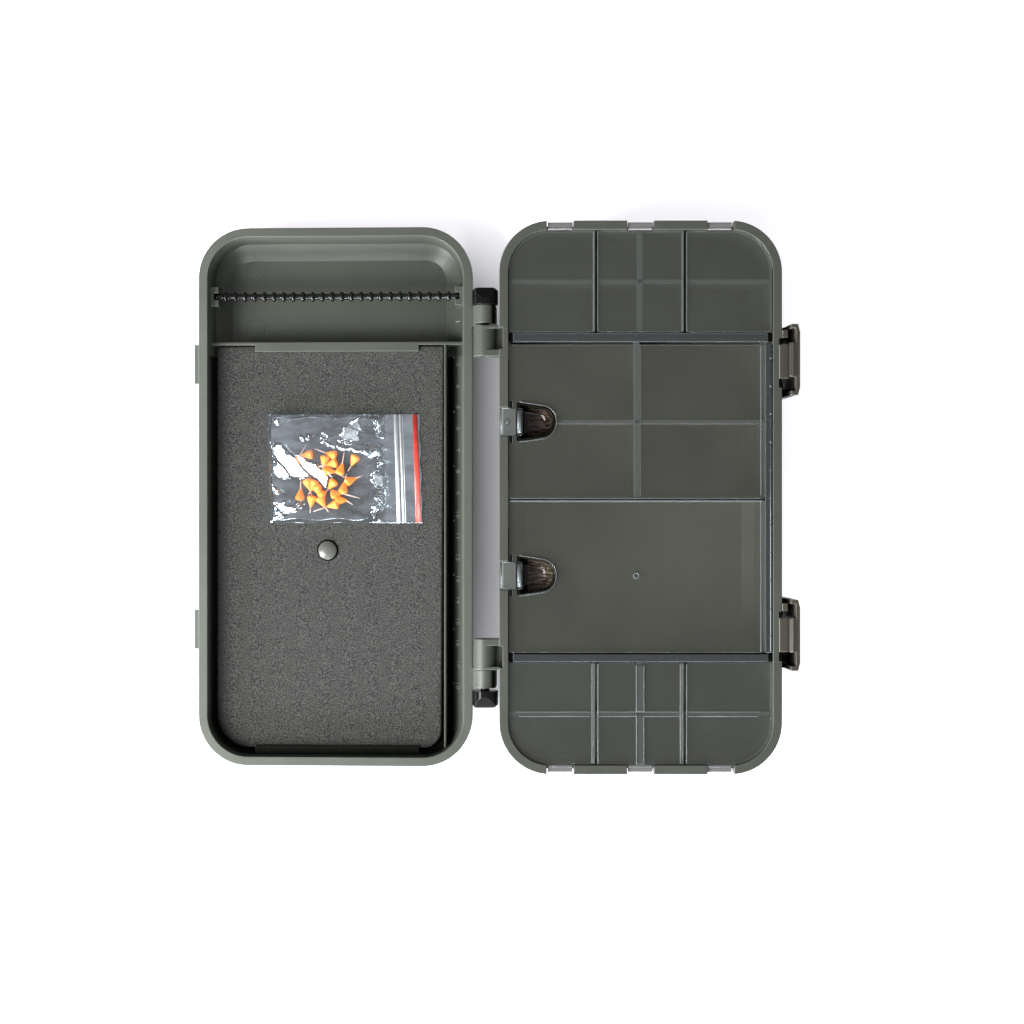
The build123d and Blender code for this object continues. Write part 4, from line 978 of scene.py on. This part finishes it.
def pillow(x, y):
    """Height of the upper film without its crumples: it stands on the pins like a cushion
    with steep sides, on which run a slow drift of waves and a finer ripple."""
    uneven = 1.3 * np.sin(y * 0.33 + 0.5) + 0.6 * np.sin(y * 0.9)
    side = step(BAG_HALF_X - np.abs(x), 0, 2.4 + uneven * 0.4)
    side = side * step(BAG_HALF_Y - np.abs(y), 0, 1.8 + 0.5 * np.sin(x * 0.35))
    rise = step(x + uneven, -21, -9) * side
    waves = np.sin(x * 0.42 + 1.2 * np.sin(y * 0.31)) * np.sin(y * 0.36 + 1.3 * np.sin(x * 0.23))
    ripple = np.sin(x * 1.1 + y * 1.7 + 1.5 * np.sin(y * 0.6)) * np.sin(x * 0.7 - y * 0.5)
    return 0.3 + rise * (4.4 + 0.16 * waves + 0.03 * ripple) + 0.04 * waves


def facing(x, y, light, pitch, base):
    """Saw teeth whose long sides lean so that they mirror a light to the camera: a height
    that rises evenly over each pitch along the way to the light, then falls steeply."""
    middle = on_bag(0, 0, 0)
    half = unit(light - middle) + unit(CAMERA_PLACE - middle)
    climb = -half[:2] / half[2]
    lean = np.hypot(*climb)
    run = (-x * climb[0] + y * climb[1]) / lean + 0.3 * np.sin(x * 0.4 + y * 0.3)
    tooth = np.mod(run, pitch)
    return base + np.minimum(tooth, (pitch - tooth) * FALL) * lean


def bag_height(x, y):
    """Height of the upper film above the foam: the pillow, and in the patches saw teeth
    that face the lights."""
    x, y = np.broadcast_arrays(x, y)
    height = pillow(x, y)
    inner = step(BAG_HALF_X - np.abs(x), 0.6, 1.6) * step(BAG_HALF_Y - np.abs(y), 0.3, 1.2)
    for patches, light, pitch, base in ((BRIGHT_PATCHES, KEY_PLACE, 7.2, 3.7),
                                        (SOFT_PATCHES, CARD_PLACE, 6.4, 4.1)):
        mask = patch_mask(-x - PATCH_SHIFT, y, patches) * inner
        height = height + mask * (facing(x, y, light, pitch, base) - height)
    return height


def bag_film():
    """The bag is one closed shape: its upper film over a grid, its lower film one flat
    face, and a low wall round its edge between them."""
    rows, columns = 350, 250
    x = np.linspace(-BAG_HALF_X, BAG_HALF_X, rows)[:, None]
    y = np.linspace(-BAG_HALF_Y, BAG_HALF_Y, columns)[None]
    wobble = 0.25 * np.sin(y * 0.5) * (np.abs(x) > BAG_HALF_X - 1)
    upper = on_bag(x + wobble, y, bag_height(x, y)).reshape(-1, 3)
    number = np.arange(rows * columns).reshape(rows, columns)
    edge = np.concatenate([number[0, :-1], number[:-1, -1], number[-1, :0:-1], number[:0:-1, 0]])
    across, along = np.broadcast_arrays(x + wobble, y)
    lower = on_bag(across.ravel()[edge], along.ravel()[edge], 0.06)
    below = rows * columns + np.arange(len(edge))
    sides = np.stack([edge, np.roll(edge, -1), np.roll(below, -1), below], -1).tolist()
    faces = grid_faces(rows, columns, wrap_columns=False) + sides + [below.tolist()]
    made = piece("bag_film", np.concatenate([upper, lower]), faces, film, "lid")
    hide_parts("pin_bag")


bag_film()


def bag_ribs(name, places, material, stands_for):
    """Rounded ribs across the bag, each a half circle carried along y, on the film."""
    turn = np.linspace(0, pi, 9)
    half = BAG_HALF_Y - 0.1
    y = np.array([-half, -half, half, half])[:, None]
    swell = np.array([0, 1, 1, 0])[:, None]
    parts = [on_bag(x + radius * np.cos(turn) * swell, y + 0 * turn, 0.5 + rise * np.sin(turn) * swell)
             for x, radius, rise in places]
    faces = grid_faces(len(y), len(turn), count=len(parts))
    made = piece(name, np.stack(parts), faces, material, "lid")
    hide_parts(stands_for)


bag_ribs("seal_ribs", [(-24.4, 0.85, 0.8), (-26.55, 0.5, 0.6), (-27.6, 0.15, 0.15)], zip_clear,
         "bag_seal")
bag_ribs("pull_line", [(-33.45, 1.15, 0.3)], stripe_red, "bag_stripe")


# ---- floor, lights, camera ----


def table_top():
    """A pale floor under the object, glowing evenly, with a painted shadow in the gap between lid
    and base: darker there, and glowing only a little, more towards the base.
    """
    mesh = bpy.data.meshes.new("table top")
    half, low = 3.0, -0.0002
    corners = [(x * half, y * half, low) for x, y in ((-1, -1), (1, -1), (1, 1), (-1, 1))]
    mesh.from_pydata(corners, [], [(0, 1, 2, 3)])
    made, tree = new_material("white paper")
    x, y, _ = axes(tree)
    # painted shadow in the gap between lid and base
    gap = times(ramp(calc("ABSOLUTE", plus(x, 0.066)), 0.02, 0.012), ramp(y, 0.13, 0.085),
                ramp(y, -0.103, -0.092))
    glow = plus(times(between(gap, 1.0, 0.0), 0.72), times(gap, ramp(x, -0.0775, -0.0635, 0.0, 0.26)))
    tone = blend(noise(tree, 8), (0.93, 0.93, 0.94), (0.95, 0.95, 0.95))
    tone = blend(gap, tone, (0.54, 0.52, 0.55))
    finish(made, color=tone, rough=0.9, glow=(0.97, 0.95, 1.0), glowing=glow)
    mesh.materials.append(made)
    floor = bpy.data.objects.new("table_top", mesh)
    bpy.context.collection.objects.link(floor)


table_top()


def softbox(name, place, target, size, power, tone=(1, 1, 1)):
    """A square soft light that looks at a point."""
    light = bpy.data.lights.new(name, "AREA")
    light.size = size
    light.energy = power
    light.color = tone
    made = bpy.data.objects.new(name, light)
    made.location = Vector(place)
    made.rotation_euler = (Vector(target) - Vector(place)).to_track_quat("-Z", "Y").to_euler()
    bpy.context.collection.objects.link(made)


softbox("key", KEY_PLACE, LIGHT_AIM, size=0.85, power=50)
softbox("dim card", CARD_PLACE, LIGHT_AIM, size=0.9, power=3.4)
softbox("low window", (-1.2, -0.95, 0.24), LIGHT_AIM, size=0.45, power=45, tone=(0.94, 0.98, 1.0))
softbox("low front", (-0.05, -1.6, 0.33), (-0.1, 0.1, 0.02), size=0.8, power=29, tone=(0.88, 0.95, 1.0))


def studio_air():
    """A soft surround, bright overhead and dim towards the horizon."""
    world = bpy.data.worlds.new("studio")
    world.use_nodes = True
    tree = world.node_tree
    tree.nodes.clear()
    heading = node(tree, "ShaderNodeTexCoord").outputs["Generated"]
    up = node(tree, "ShaderNodeSeparateXYZ", {0: heading}).outputs["Z"]
    tone = blend(ramp(up, 0.2, 0.9), (0.2, 0.2, 0.21), (0.6, 0.6, 0.64))
    air = node(tree, "ShaderNodeBackground", {"Color": tone, "Strength": 0.7})
    node(tree, "ShaderNodeOutputWorld", {0: air.outputs[0]})
    bpy.context.scene.world = world


studio_air()
bpy.context.scene.view_settings.view_transform = "Standard"


def camera_above():
    """The camera, straight above the open box."""
    lens = bpy.data.cameras.new("camera")
    lens.lens = 65
    lens.sensor_width = 36
    lens.clip_end = 10
    camera = bpy.data.objects.new("camera", lens)
    camera.location = CAMERA_PLACE
    bpy.context.collection.objects.link(camera)
    bpy.context.scene.camera = camera


camera_above()
